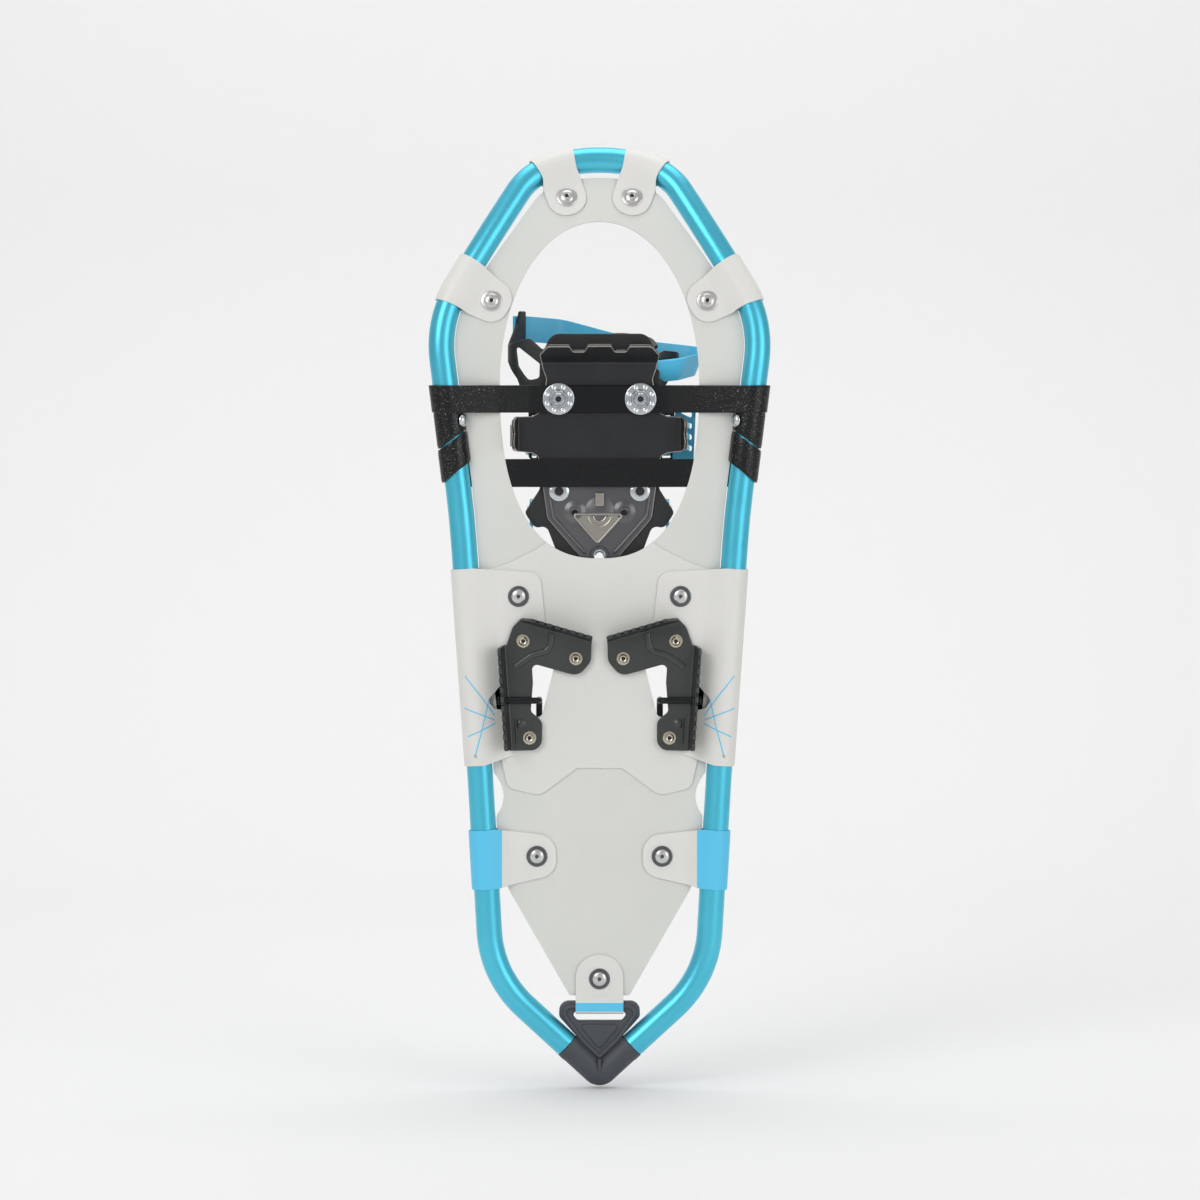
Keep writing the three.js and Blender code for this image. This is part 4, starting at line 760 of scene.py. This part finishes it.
def sleeve(d0, a0, a1, lift, top, low):
    """A wrap round the tube from distance a0 to a1, its edges drawn back by top and low on the inner side."""
    n, rows = 48, []
    turn = [2 * math.pi * j / n for j in range(n)]

    def point(i, a, q):
        p, m, _ = tube_at(d0 - 21.3 + a0
                          + (a1 - a0) * i / 11 - (top + (low - top) * i / 11) * (1 + math.cos(a)) / 2)
        return p + m * q * math.cos(a) + np.array([0, q * math.sin(a), 0])

    for i in range(12):
        rows.append([point(i, a, lift - (0.35 if i in (0, 11) else 0)) for a in turn])
    rows += [[point(i, a, 8.4) for a in turn] for i in (11, 0)]
    m = len(rows)
    faces = [(i * n + j, i * n + (j + 1) % n, (i + 1) % m * n + (j + 1) % n, (i + 1) % m * n + j)
             for i in range(m) for j in range(n)]
    return np.array(rows).reshape(-1, 3), faces


def rear_strap():
    cx, r = float(tube_x(REAR_Z)), TUBE_R + 0.35 + 1
    path = bend([(cx + 1, r, 0), (cx - 5, r, 6), (cx - 24, STRAP_Y, 14), (0, STRAP_Y, 0)], step=3)
    path = np.concatenate([path, (path[:-1] * [-1, 1])[::-1]])
    band = sweep(rect(17.4, STRAP_T, 0.7), np.column_stack([path, np.full(len(path), REAR_Z)]))
    d0, _ = nearest(110, -171)
    sleeves = [sleeve(d0, 0, 22.8, 9.75, 0, 9.7), sleeve(d0, 23.9, 44.1, 9.9, 9.9, 11.2)]
    parts = [band, *sleeves, *mirror(sleeves)]
    show("rear_strap_look", parts, SPARKLE, "frame", "rear_strap", sharp=50)
    base = np.array([tube_x(-153.5), 0, -153.5])
    head = spin([(0.0, -12.6), (1.4, -12.5), (2.9, -12.1), (3.9, -11.2), (4.1, -10.3), (1.4, -10.3)],
                (0, 0, 0), 24)
    a = math.radians(-55)
    v = head[0]
    v = np.stack([v[:, 0] * math.cos(a) - v[:, 1] * math.sin(a), v[:, 0] * math.sin(a)
                  + v[:, 1] * math.cos(a), v[:, 2]], 1) + base
    pair("strap_rivet", [(v, head[1])], ZINC, "frame", "strap_rivet")


# ---------------------------------------------------------------- binding
def toe_crampon():
    """Black plate with a toothed front folded down and two side wings."""
    mid = sum(CRAMPON_Y) / 2
    zf, bent = -119.0, 3.0 * math.radians(50)
    right = [(7.2, zf + 17.6, 1.5), (9.6, zf + 12, 1.5), (16.2, zf + 12, 1.5), (18.5, zf + 17.2, 1.5),
             (32, zf + 17.2, 3), (37, zf + 9, 2), (36, zf + 1, 1), (35.2, zf - 3, 2), (33, -128, 4),
             (35, -140, 4), (37.5, -149, 3), (42, -151.2, 3), (51.5, -151.4, 0.6), (62, -153.5, 1.5),
             (65, -157, 2), (60.5, -162, 1), (65, -167, 2), (62, -171, 1.5), (51.5, -173, 0.6),
             (42, -174, 2), (38, -176, 3), (37, -188.8, 3)]
    cuts = [((0, zf), (0, 1), np.linspace(0, bent, 6))]
    cuts += [((s * 49.5, -160), (s, 0), np.linspace(0, 2.5 * math.pi / 2, 6)) for s in (1, -1)]
    eyes = [ring(4.2, 20, s * BOLT_X, PIVOT_Z) for s in (1, -1)]
    part = flat(bend(both(right), True, 10), *CRAMPON_Y, eyes, 0.5, cuts)
    part = fold(part, (0, zf), (0, 1), 3.0, math.radians(50), mid)
    for s in (1, -1):
        part = fold(part, (s * 49.5, -160), (s, 0), 2.5, math.radians(82), mid)
    return [part]


def claw_plate():
    low, high = CLAW_Y
    plan = both([(33, -172, 3), (35, -196, 4), (32.5, -214.5, 6), (12.5, -238, 4), (7, -246.5, 5)])
    eyes = [ring(2.0, 20, s * 15.3, -211) for s in (1, -1)] + [ring(3.2, 24, 0, EYELET_Z)]
    eyes += [ring(2.9, 20, s * SCREW[0], SCREW[1]) for s in (1, -1)]
    body = flat(bend(plan, True, 8), low, high, eyes, 0.45)
    edge = bend(both([(31.2, -200, 3), (29, -213.5, 5), (9.5, -235.5, 3)]), False, 8)
    ridge = sweep(ring(1.2, 10),
                  np.column_stack([edge[:len(edge) // 2, 0], np.full(len(edge) // 2, low),
                                   edge[:len(edge) // 2, 1]]))
    swell = [spin([(2.1, low - 0.5), (3.0, low - 1.2), (4.2, low - 1.2), (6.0, low - 0.5),
                   (7.2, low + 0.1)], (s * 15.3, 0, -210.5)) for s in (1, -1)]
    mid = spin([(0.0, low - 1.4), (4.5, low - 1.2), (8, low - 0.4), (10, low + 0.2)], (0, 0, -210.5))
    return [body, ridge, *mirror([ridge]), *swell, mid]


def claw_triangle():
    low = CLAW_Y[0]
    tri = bend([(15.0, -212.0, 1.2), (-17.0, -212.0, 1.2), (-1.2, -230.0, 1.2)], True, 12)
    rim = sweep(ring(0.8, 10), np.column_stack([tri[:, 0], np.full(len(tri), low - 0.9), tri[:, 1]]),
                closed=True)
    pan = flat(tri, low - 0.9, low - 0.2, edge=0.2)
    arches = [sweep(ring(0.6, 8),
                    np.column_stack([r * np.cos(a), np.full(14, low - 1.1), -212.5 - r * np.sin(a)]))
              for r in (4.0, 7.2) for a in [np.linspace(0.15, math.pi - 0.15, 14)]]
    tongue = flat(bend([(2.7, -198.5, 1), (2.7, -207, 1), (-2.7, -207, 1), (-2.7, -198.5, 1)], True),
                  low - 2.5, low, edge=0.6)
    return [rim, pan, *arches, tongue]


def binding_base():
    plan = both([(30, -100, 8), (37, -116, 8), (38, -150, 8), (33, -180, 10), (37.5, -197, 4),
                 (46.5, -211, 3), (40, -221, 5), (33, -219, 5), (25, -240, 8), (17, -271, 8)])
    eyes = [ring(4.2, 20, s * BOLT_X, PIVOT_Z) for s in (1, -1)] + [ring(3.2, 20, 0, EYELET_Z)]
    eyes += [ring(2.9, 20, s * SCREW[0], SCREW[1]) for s in (1, -1)]
    lower = flat(bend(plan, True, 6), 7.2, 9.9, eyes, 0.9)
    strip_top = both([(13, -111, 2), (13, -178, 2), (31.5, -181, 6), (37, -199, 4), (40, -208, 3),
                      (37, -217, 4), (28, -222, 6), (22, -240, 8), (15.5, -269.5, 7)])
    upper = flat(bend(strip_top, True, 6), 9.7, 12.8, eyes[2:], 0.8)
    grip = [flat(bend([(9 - i % 2, z, 1), (9 - i % 2, z - 3, 1), (-9 + i % 2, z - 3, 1),
                       (-9 + i % 2, z, 1)], True), 12.7, 13.1, edge=0.15)
            for i, z in enumerate(np.arange(-116, -172, -7.0)) if abs(z - 1.5 + 155) > 6]
    x, y, z = HEEL
    lugs = []
    for s in (1, -1):
        prof = bend([(9.5, z - 8, 0), (9.5, z + 8, 0), (y + 5, z + 6, 5), (y + 5, z - 6, 5)], True, 8)
        v, f, marks = flat(prof, 0, 2.9, [ring(2.6, 20, y, z)], 0.5)
        lugs.append((np.stack([s * (x - v[:, 1]), v[:, 0], v[:, 2]], 1), f, marks))
    return [lower, upper, *grip, *lugs]


def washer():
    c = (BOLT_X, 0, PIVOT_Z)
    disc = spin([(4.2, -1.9), (5.0, -2.0), (5.5, -1.6), (5.9, -1.15), (9.3, -1.0), (9.7, -0.7),
                 (9.6, 0.35), (4.2, 0.4)], c, 48)
    pips = [spin([(1.35, -1.02), (1.5, -1.3), (1.15, -1.45), (0.6, -1.2), (0.0, -1.05)],
                 (BOLT_X + 7.6 * math.cos(a), 0, PIVOT_Z + 7.6 * math.sin(a)), 12)
            for a in np.arange(8) * math.pi / 4 + math.pi / 8]
    return [disc, *pips]


def bolt(x, z, r, shank, head, seat, top, top_r, top_t):
    c = (x, 0, z)
    outer = [(r * 0.42, head + 1.3), (r * 0.46, head), (r * 0.8, head + 0.02), (r, head + 0.7), (r, seat),
             (shank, seat), (shank, top), (top_r, top), (top_r, top + top_t - 0.4),
             (top_r - 0.5, top + top_t), (0.0, top + top_t)]
    # The socket floor is a flat hexagon in the second material: painted shade in the recess.
    socket_shade_disc = spin([(0.0, head + 1.3), (r * 0.44, head + 1.3)], c, 6)
    return [spin(outer, c, 28), marked(socket_shade_disc)]


def arm_path(wall):
    """Edge view (x, y) of a side arm and the distance along it to a given x on each layer."""
    path = bend([(14, 11.4, 0), (36, 11.4, 8), *wall], step=3)
    run = np.concatenate([[0], np.cumsum(np.linalg.norm(np.diff(path, axis=0), axis=1))])
    k = path[:, 0].argmax() + 1
    low = lambda x: float(np.interp(x, path[:k, 0], run[:k]))
    high = lambda x: float(np.interp(-x, -path[k - 1:, 0], run[k - 1:]))
    return path, low, high


def open_arm():
    """Side arm that flares out and back in, with an eye through both layers and a pointed tip."""
    path, low, high = arm_path([(59.5, 21.5, 9), (47, 45.5, 0)])
    brim, top = low(path[:, 0].max()), length(path)
    plan = [(1, -104, 1), (low(26), -104, 5), (low(34), -111, 4), (low(43), -103, 3), (low(47), -103.5, 1),
            (brim, -108, 5), (high(51.5), -94, 4), (high(50), -86, 1), (top, -86, 1), (top, -105, 2),
            (high(52.6), -109.5, 2), (high(51.3), -120, 3), (top, -127, 2), (top, -136, 2),
            (high(51), -128, 8), (brim, -115.5, 5), (low(51), -128, 8), (low(44), -149, 4),
            (low(44), -178.5, 3), (low(37.8), -178.5, 2), (low(36.5), -176.6, 1), (1, -176.6, 1)]
    eye = [(52.6, -109.5, 2), (50, -108.5, 2), (36.6, -119, 3), (37, -127.5, 3), (44, -129, 4),
           (51.3, -120, 4)]
    slot = [(39, -150.8, 0.5), (42.2, -150.8, 0.5), (42.2, -177.2, 0.5), (39, -177.2, 0.5)]
    eyes = [ring(4.2, 20, low(BOLT_X), PIVOT_Z)] + [bend([(low(x), z, r) for x, z, r in q], True, 8)
                                                    for q in (eye, slot)]
    return [laid(path, bend(plan, True, 8), (-1.2, 1.2), eyes, 0.8, 1.5)]


def short_arm():
    """Side arm with a small upright block beside the toe."""
    path, low, _ = arm_path([(47.5, 18.5, 7), (48.5, 30, 0)])
    top = length(path)
    plan = [(1, -112, 1), (low(30), -112, 2), (low(36), -113, 2), (low(40), -110.5, 2), (top, -112, 2),
            (top, -123, 2), (low(44), -127, 3), (low(38.5), -136, 4), (low(46.2), -149, 4),
            (low(46.2), -178.5, 3), (low(37.8), -178.5, 2), (low(36.5), -176.6, 1), (1, -176.6, 1)]
    slot = [(38.7, -150.8, 0.5), (44.4, -150.8, 0.5), (44.4, -177.2, 0.5), (38.7, -177.2, 0.5)]
    eyes = [ring(4.2, 20, low(BOLT_X), PIVOT_Z), bend([(low(x), z, r) for x, z, r in slot], True, 8)]
    return [laid(path, bend(plan, True, 8), (-1.2, 1.2), eyes, 0.8, 1.5)]


def toe_cup():
    """Sloping bumper over the toe, arched in front view, with four ribs under it."""
    side = bend([(11.5, -115, 0), (12.5, -110, 5), (40, -100, 0)], step=6)
    plan = [(-14, 0, 1), (-26, 9, 5), (-17, 22, 10), (14, length(side), 16), (33, 24, 10), (37, 9, 4),
            (22, 0, 1)]
    outline = bend([(z, x, r) for x, z, r in plan], True, 8)
    cup = laid(side, outline, (-1.3, 1.3), edge=0.9, place=lambda y, z, x: (x, y, z))
    ribs = [sweep(rect(1.6, 3.6, 0.6),
                  np.array([(x, 14.5, -110.4), (x, 24, -107.0), (x, end, -107 + (end - 24) * 0.364)]),
                  up=(0, -0.34, 0.94)) for x, end in ((-10.6, 30), (1.4, 35), (14, 37), (27.2, 32))]
    return [cup, *ribs]


def webbing(corners, w, t, up=(-1, 0, 0)):
    return sweep(rect(w, t, t * 0.35), bend(corners, step=4), up=up)


def toe_strap():
    return [webbing([(-53.6, 38.1, -97, 0), (-46.6, 51.5, -97, 8), (-24, 64, -99, 20), (24, 64, -112, 24),
                     (61, 46, -116, 12), (62, 27, -119, 12), (50, 9.2, -122, 8), (36, 8.9, -123.5, 0)],
                    16, 1.6)]


def ladder():
    """Free end of the toe strap, turned back along the right of the base, pierced with slanted slots."""
    side = bend([(-136, 17, 0), (-160, 16.2, 40), (-180, 14, 0)])
    slots = [bend([(u, 50.8, 1), (u + 3.4, 50.8, 1), (u + 6.6, 57.4, 1), (u + 3.2, 57.4, 1)], True, 15)
             for u in np.arange(3, 36, 7.0)]
    outline = bend([(0, 47, 3), (0, 60.5, 3), (44, 58.5, 3), (44, 42, 4), (36, 47, 8)], True)
    return [laid(side, outline, (-0.8, 0.8), slots, 0.5, 2.0, lambda z, y, x: (x, y, z))]


def instep():
    """Strap over the instep, its right-hand run pierced with a row of slanted slots."""
    path = bend([(-39.8, 9.5, 0), (-46.2, 44, 14), (-26, 76, 24), (32, 80, 26), (58.5, 52, 14),
                 (39, 9.5, 0)], step=4)
    total, w, slots = length(path), 12.0, []
    for u in total - 12 - np.arange(9) * 7.0:
        slots.append(bend([(u + 3.2, -4.5, 1), (u + 0.6, -4.5, 1), (u - 3.2, 4.5, 1), (u - 0.6, 4.5, 1)],
                          True, 15))
    outline = bend([(0, -w, 3), (total, -w, 3), (total, w, 3), (0, w, 3)], True)
    return [laid(path, outline, (-0.9, 0.9), slots, 0.5, 1.6, lambda x, y, z: (x, y, z + INSTEP_Z))]


def heel_strap():
    x, y, z = HEEL
    out = x + 0.35 + 1.2
    half = [(out, y + 1.5, z + 7, 0), (out, y + 5, z - 22, 60), (out - 1, 40, -292, 22), (20, 46, -314, 20)]
    return [webbing(half + [(-c[0],) + c[1:] for c in reversed(half)], 14, 2, up=(1, 0, 0))]


def heel_pin():
    x, y, z = HEEL
    return [spin([(0.0, x - 4.6), (4.4, x - 4.6), (4.4, x - 3.3), (2.2, x - 3.3), (2.2, x + 2.9),
                  (4.6, x + 2.9), (4.4, x + 3.6), (3.4, x + 4.2), (0.0, x + 4.3)], (0, y, z), 24, "x")]


# ---------------------------------------------------------------- build
frame_tube()
tail_cap()
deck()
over = doubler()

for stem, at, half_width, end_r in (("toe_tab", TOE_RIVET, 12.4, 12.0),
                                    ("shoulder_tab", SHOULDER_RIVET, 15.5, 11.8)):
    pair(stem, [tab(at, half_width, end_r)], TAB, "frame", stem)
pair("tail_side_tab", [tab(TAIL_SIDE_RIVET, 18.5, 12.0)], SIDE_BAND, "frame", "tail_side_tab")
pair("side_tab", side_tab(), TAB, "frame", "side_tab", PRINT)
show("tail_tab_look", [tail_tab()], TAIL_BAND, "frame", "tail_tab")

pair("toe_rivet", rivet(TOE_RIVET, -FOOT, FOOT, ringed=False), RIVET, "frame", "toe_rivet", BORE_SHADE)
pair("shoulder_rivet", rivet(SHOULDER_RIVET, -FOOT, FOOT, ringed=False), RIVET, "frame", "shoulder_rivet",
     BORE_SHADE)
# On these rivets the bore floor shares the washer grey, as painted shade in the hollow.
pair("side_rivet", rivet(SIDE_RIVET, -3.0, FOOT), RIVET, "frame", "side_rivet", WASHER_AND_BORE_SHADE)
pair("tail_side_rivet", rivet(TAIL_SIDE_RIVET, -FOOT, FOOT), RIVET, "frame", "tail_side_rivet",
     WASHER_AND_BORE_SHADE)
show("tail_rivet_look", rivet(TAIL_RIVET, -FOOT, FOOT), RIVET, "frame", "tail_rivet", WASHER_AND_BORE_SHADE)

pair("heel_cleat", heel_cleat(), CLEAT, "frame", "heel_cleat", sharp=50)
for name, at, top in zip(("upper", "inner", "lower"), CLEAT_RIVETS, (FOOT, 0.6, FOOT)):
    pair("cleat_rivet_" + name, rivet(at, -5.25, top, 4.3, False), BRASS, "frame", "cleat_rivet_" + name,
         BORE_SHADE)
lift_bar()
front_strap()
rear_strap()

# The crampon's rounded edges take the light edge colour: partly worn paint, partly painted highlight.
show("toe_crampon_look", toe_crampon(), BLACK_STEEL, "binding", "toe_crampon", EDGE_WEAR_AND_HIGHLIGHT,
     sharp=50)
show("claw_plate_look", claw_plate(), GREY_STEEL, "binding", "claw_plate", EDGE_WEAR_AND_HIGHLIGHT)
# The embossed claw triangle is drawn wholly in the light edge colour, a painted highlight on its rim, arches
# and tongue.
show("claw_triangle_look", claw_triangle(), EDGE_WEAR_AND_HIGHLIGHT, "binding", None)
show("base_look", binding_base(), PLASTIC, "binding", "binding_base")
pair("strap_washer", washer(), ZINC, "binding", "strap_washer")
pair("strap_bolt", bolt(BOLT_X, PIVOT_Z, 4.0, 3.0, -4.2, -2.0, 12.9, 5.0, 2.0), ZINC, "binding",
     "strap_bolt", BORE_SHADE)
pair("plate_screw", bolt(*SCREW, 6.2, 2.5, 3.0, 5.3, 13.0, 5.0, 1.2), ZINC, "binding", "plate_screw",
     BORE_SHADE)
show("eyelet_look",
     [spin([(2.2, 3.9), (3.2, 3.4), (3.9, 3.9), (3.9, 5.2), (3.1, 5.3), (3.1, 13.0), (5.0, 13.1),
            (4.6, 13.9), (2.2, 13.9), (2.0, 9.0), (2.2, 3.9)], (0, 0, EYELET_Z), 32),
      marked(spin([(3.6, 4.1), (5.4, 4.1), (6.2, 4.9), (6.2, 5.2), (3.6, 5.2), (3.6, 4.1)],
                  (0, 0, EYELET_Z), 32))],
     ZINC, "binding", "plate_eyelet", WASHER_AND_BORE_SHADE)
show("arm_right_look", short_arm(), PLASTIC, "binding", "arm_right")
show("arm_left_look", mirror(open_arm()), PLASTIC, "binding", "arm_left")
show("toe_cup_look", toe_cup(), PLASTIC, "binding", "toe_cup")
show("toe_strap_look", toe_strap(), BLUE, "binding", "toe_strap")
show("toe_strap_rivet",
     [spin([(0.0, 61.2), (1.4, 61.3), (2.4, 61.9), (2.6, 62.6), (0.0, 62.8)], (-31, 0, -104.5), 20)],
     RIVET, "binding", None)
show("strap_free_end", ladder(), BLUE, "binding", None)
show("instep_strap_look", instep(), BLUE, "binding", "instep_strap")
show("heel_strap_look", heel_strap(), BLUE, "heel_strap", "heel_strap")
pair("heel_pin", heel_pin(), ZINC, "binding", "heel_pin")
for node in ("instep_buckle", "instep_lever"):
    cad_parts[node].data.materials.clear()
    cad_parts[node].data.materials.append(PLASTIC)

# ---------------------------------------------------------------- studio
def studio():
    r, w, back, low = 0.6, 3.0, 1.6, -0.5695
    prof = [(-3.0, low)] + [(back - r + r * math.sin(a), low + r - r * math.cos(a))
                            for a in np.linspace(0, math.pi / 2, 24)] + [(back, 3.0)]
    verts = [(x, y, z) for y, z in prof for x in (-w, w)]
    mesh = bpy.data.meshes.new("backdrop")
    mesh.from_pydata(verts, [], [(2 * i, 2 * i + 1, 2 * i + 3, 2 * i + 2) for i in range(len(prof) - 1)])
    for p in mesh.polygons:
        p.use_smooth = True
    obj = bpy.data.objects.new("backdrop", mesh)
    bpy.context.scene.collection.objects.link(obj)
    m = bpy.data.materials.new("backdrop")
    m.use_nodes = True
    m.node_tree.nodes["Principled BSDF"].inputs["Base Color"].default_value = (0.86, 0.86, 0.86, 1)
    m.node_tree.nodes["Principled BSDF"].inputs["Roughness"].default_value = 0.9
    mesh.materials.append(m)


def area_light(name, at, look, size, power):
    data = bpy.data.lights.new(name, "AREA")
    data.energy, data.shape, data.size, data.size_y = power, "RECTANGLE", size[0], size[1]
    obj = bpy.data.objects.new(name, data)
    obj.location = at
    obj.rotation_euler = (Vector(look) - Vector(at)).to_track_quat("-Z", "Y").to_euler()
    bpy.context.scene.collection.objects.link(obj)


studio()
camera = bpy.data.cameras.new("camera")
camera.lens = 150
view = bpy.data.objects.new("camera", camera)
view.location = CAMERA
view.rotation_euler = (math.pi / 2 - math.atan2(CAMERA[2] - TARGET[2], TARGET[1] - CAMERA[1]), 0, 0)
bpy.context.scene.collection.objects.link(view)
bpy.context.scene.camera = view

bpy.context.scene.view_settings.view_transform = "Standard"
area_light("key", (-1.3, -1.9, 0.9), (0, 0, -0.25), (1.2, 1.4), 19)
area_light("fill", (1.6, -1.7, 0.2), (0, 0, -0.3), (1.4, 1.4), 11)
area_light("top", (0, -0.1, 1.7), (0, 0, -0.3), (1.6, 1.0), 9)
area_light("wash", (0, 0.7, 1.9), (0, 1.6, -0.2), (2.6, 0.6), 15)
world = bpy.data.worlds.new("studio")
world.use_nodes = True
world.node_tree.nodes["Background"].inputs["Color"].default_value = (1, 1, 1, 1)
world.node_tree.nodes["Background"].inputs["Strength"].default_value = 0.48
bpy.context.scene.world = world
